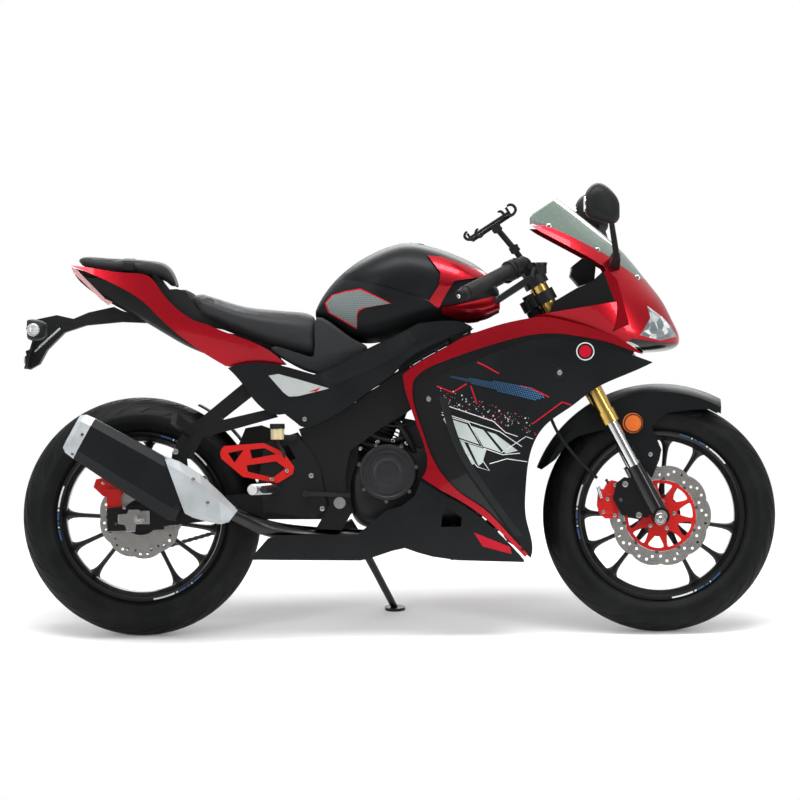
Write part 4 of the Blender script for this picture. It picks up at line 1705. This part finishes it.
def calliperPieces():
    # outer and inner cast halves over the disc, a bridge, piston caps, screws, a bleed nipple and the bracket's parts
    parts = [sheetOf(calliper["outline"], 6.0, low, high) for low, high in calliper["halves"]]
    parts.append(sheetOf(calliper["bridge"], 6.0, *calliper["bridgeY"]))
    parts += [lathe(calliper["piston"], seen(*spot, -86.6), (0, -1, 0), 36) for spot in calliper["pistons"]]
    made = makePiece("front_calliper_casting", gather(parts), "steering", "redCast", 32)
    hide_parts("front_caliper")
    places = [seen(*spot, -87.2) for spot in calliper["screws"]]
    boltSet("calliper_screws", "steering", "paleSteel", places, (0, -1, 0), 5.2, 3.4)
    nipple = lathe(calliper["nipple"], seen(607, 483, -78), (-0.55, 0, 0.83), 20)
    makePiece("bleed_nipple", nipple, "steering", "rubberCap", 30)
    screws("bracket_screws", "fork_feet", calliper["bracket"], "steering", "paleSteel", 8.0, 5.0)
    bossRing("bracket_screw_seats", "fork_feet", calliper["bracket"], "steering", "softBlack", 8.2, 11.5, 1.8)
    screws("sensor_screw", "fork_feet", calliper["sensor"], "steering", "darkSteel", 5.0, 3.0)
    patchOn("bracket_slots", "fork_feet", calliper["slots"], -1, "steering", "darkGloss", 0.6, 0.1)
    tube("hose_ferrule", [seen(*spot) for spot in calliper["ferrule"]], 5.0, "steering", "steel")


waveDisc("front_wave_disc", "front_disc", "front", frontAxle, "front_wheel", "frontDisc")
waveDisc("rear_wave_disc", "rear_disc", "rear", rearAxle, "rear_wheel", "rearDisc")
carrierPiece()
calliperPieces()
print("brakes")

# tail: filler under the seat, seat end, strap, lamps and indicators
tail = {"filler": [(152, 271.5), (158, 274), (170, 290), (179, 289.5), (188, 291.5), (199, 309), (217, 322), (246, 332),
                   (272, 342.5), (256, 341), (240, 333), (202, 325), (178, 314), (166, 301)],
        "end": [(176.5, 294.5), (178.5, 291.0), (184, 289.8), (190, 291), (198, 297), (206, 314), (197, 312),
                (186, 304)],
        "endEdge": ((7.0, -56.0), (2.5, -52.0), (0.0, -44.0), (0.0, 44.0), (2.5, 52.0), (7.0, 56.0)),
        "tip": [(76.5, 268.5), (90, 272.5), (108, 282), (98, 286), (86, 279)],
        "strap": dict(pillion, rows=[(-0.0290, 0.9364, 0.9702, 0.865), (-0.0265, 0.9356, 0.9704, 0.880),
                                     (-0.0115, 0.9338, 0.9696, 0.902), (-0.0090, 0.9334, 0.9687, 0.898)], shrink=-2.6),
        "lens": [(-6, 16.5), (0.5, 16.5), (3.0, 14.5), (4.6, 10.0), (5.0, 0.0)], "lensAt": (37.5, 330.5),
        # centre and half sizes of the number-plate lamp and its lens, and the bracket's bright edge
        "lamp": ((31.5, 360.0, 0.0), (16.0, 30.0, 12.0)), "glass": ((27.5, 360.5, 0.0), (9.0, 22.0, 9.0)),
        "edge": ((62, 328.5, 60), (48, 341, 62), (36.5, 351.5, 60))}


def tailPieces():
    makePiece("seat_filler", sheetOf(tail["filler"], 9.0, -88.0, 88.0), "chassis", "softBlack", 40)
    end = seenOutline(tail["end"])
    rings = [(smoothPath(drawIn(end, inset), 4, True), y) for inset, y in tail["endEdge"]]
    makePiece("seat_end", stacked(rings), "chassis", "padVinyl", 50)
    makePiece("tail_tip", sheetOf(tail["tip"], 8.0, -44.0, 44.0), "chassis", "softBlack", 40)
    makePiece("pillion_strap", padShape(tail["strap"], steps=3), "chassis", "softBlack", 50)
    for sideways, tag in bothSides:
        lens = lathe(tail["lens"], outerSide("rear_indicators", *tail["lensAt"], sideways), (-0.15, sideways, 0.05), 40)
        makePiece("rear_indicator_lens" + tag, lens, "chassis", "greyLens", 50)
    for name, key, finish in (("plate_lamp", "lamp", "softBlack"), ("plate_lamp_lens", "glass", "greyLens")):
        at, half = tail[key]
        makePiece(name, roundBlock(seen(*at), half, None, 0.4, 28, 0.2), "chassis", finish, 45)
    for sideways, tag in bothSides:
        tube("bracket_edge" + tag, [seen(x, z, sideways * y) for x, z, y in tail["edge"]], 2.6, "chassis", "silver")


dress("tail_light", "pinkLens")
tailPieces()
print("tail")

# phone holder: claws with rails, and clamp knobs
holder = {"y": -128.0, "apart": 11.0, "low": (855.0, 1008.0), "high": (954.0, 1072.0), "rise": (-4.8, 7.36),
          "claws": ([(859, 1012), (851, 1011), (842, 1012), (836, 1019), (838, 1027), (843, 1031)],
                    [(950, 1069), (962, 1076), (967, 1087), (961, 1097), (951, 1099), (945, 1095)],
                    [(884, 1027), (878, 1019), (870, 1018), (864, 1024), (866, 1034), (871, 1038)],
                    [(926, 1054), (934, 1064), (936, 1075), (929, 1082), (921, 1081)]),
          "knobs": ((963.0, 985.0), (918.0, 1038.0)), "knobY": (-27.0, -15.0)}


def holderPieces():
    low, high = (np.array(holder[end]) + holder["rise"] for end in ("low", "high"))
    parts = []
    for y in (holder["y"] - holder["apart"], holder["y"] + holder["apart"]):
        line = [(x, y, z) for x, z in (low, (low + high) / 2, high)]
        parts.append(sweep(line, 3.6, 3.2, 0.6, 12, up=(0, 1, 0)))
        for turns in holder["claws"]:
            claw = smoothPath([(x, y, z) for x, z in turns], 6)
            thick = np.interp(np.linspace(0, 1, len(claw)), [0, 0.8, 1], [3.8, 3.2, 2.2])
            parts.append(sweep(claw, thick, thick * 1.2, 0.7, 12, up=(0, 1, 0)))
    makePiece("holder_claws", gather(parts), "steering", "softBlack", 45)
    knobs = []
    for x, z in holder["knobs"]:
        angle = np.linspace(0, 2 * np.pi, 42, endpoint=False)
        lobes = 13.0 + 1.6 * np.cos(6 * angle)
        outline = np.stack([x + lobes * np.cos(angle), z + lobes * np.sin(angle)], -1)
        knobs.append(plate(outline, *(holder["y"] + shift for shift in holder["knobY"])))
        knobs.append(lathe([(0, 9.5), (14, 9.5), (14, 0)], (x, holder["y"] - 16, z), count=24))
    makePiece("holder_knobs", gather(knobs), "steering", "softBlack", 35)


def displayFinish(name):
    # dark display with a row of plain bars, the last few red
    f = Finish(name)
    x, y, z = f.split(f.upright())
    marks = ((y / 6.0).part() - 0.5).size().below(0.30, 0.04)
    band = (z - 950.0).size().below(5.0, 0.6)
    lit = f.blend(y.above(22.0, 0.5), (0.55, 0.68, 0.72), (0.65, 0.05, 0.03))
    tone = f.blend(marks * band * (y.size().below(38.0, 0.5)), (0.006, 0.007, 0.008), lit)
    f.surface(Base_Color=tone, Roughness=0.12 + f.noise(30.0) * 0.05, Coat_Weight=0.6, Coat_Roughness=0.03,
              Emission_Color=tone, Emission_Strength=0.3)


def displayPieces():
    # rim and glass on the instrument's sloping face
    low, high = side(0.834, 0.935), side(0.860, 0.962)
    up = (high - low) / np.linalg.norm(high - low)
    out = np.cross(up, (0.0, 1.0, 0.0))
    middle = (low + high) / 2 + out * 2.0
    facing = np.stack([np.array([0.0, 1.0, 0.0]), up, out], -1)
    rim = roundBlock(middle, (52.0, 21.5, 3.4), facing, 0.35, 32, 0.3)
    makePiece("display_rim", rim, "chassis", "softBlack", 45)
    glass = roundBlock(middle + out * 2.6, (46.0, 16.5, 1.6), facing, 0.3, 32, 0.3)
    makePiece("display_glass", glass, "chassis", "displayFace", 45)


holderPieces()
displayFinish("displayFace")
displayPieces()
print("phone holder and display")
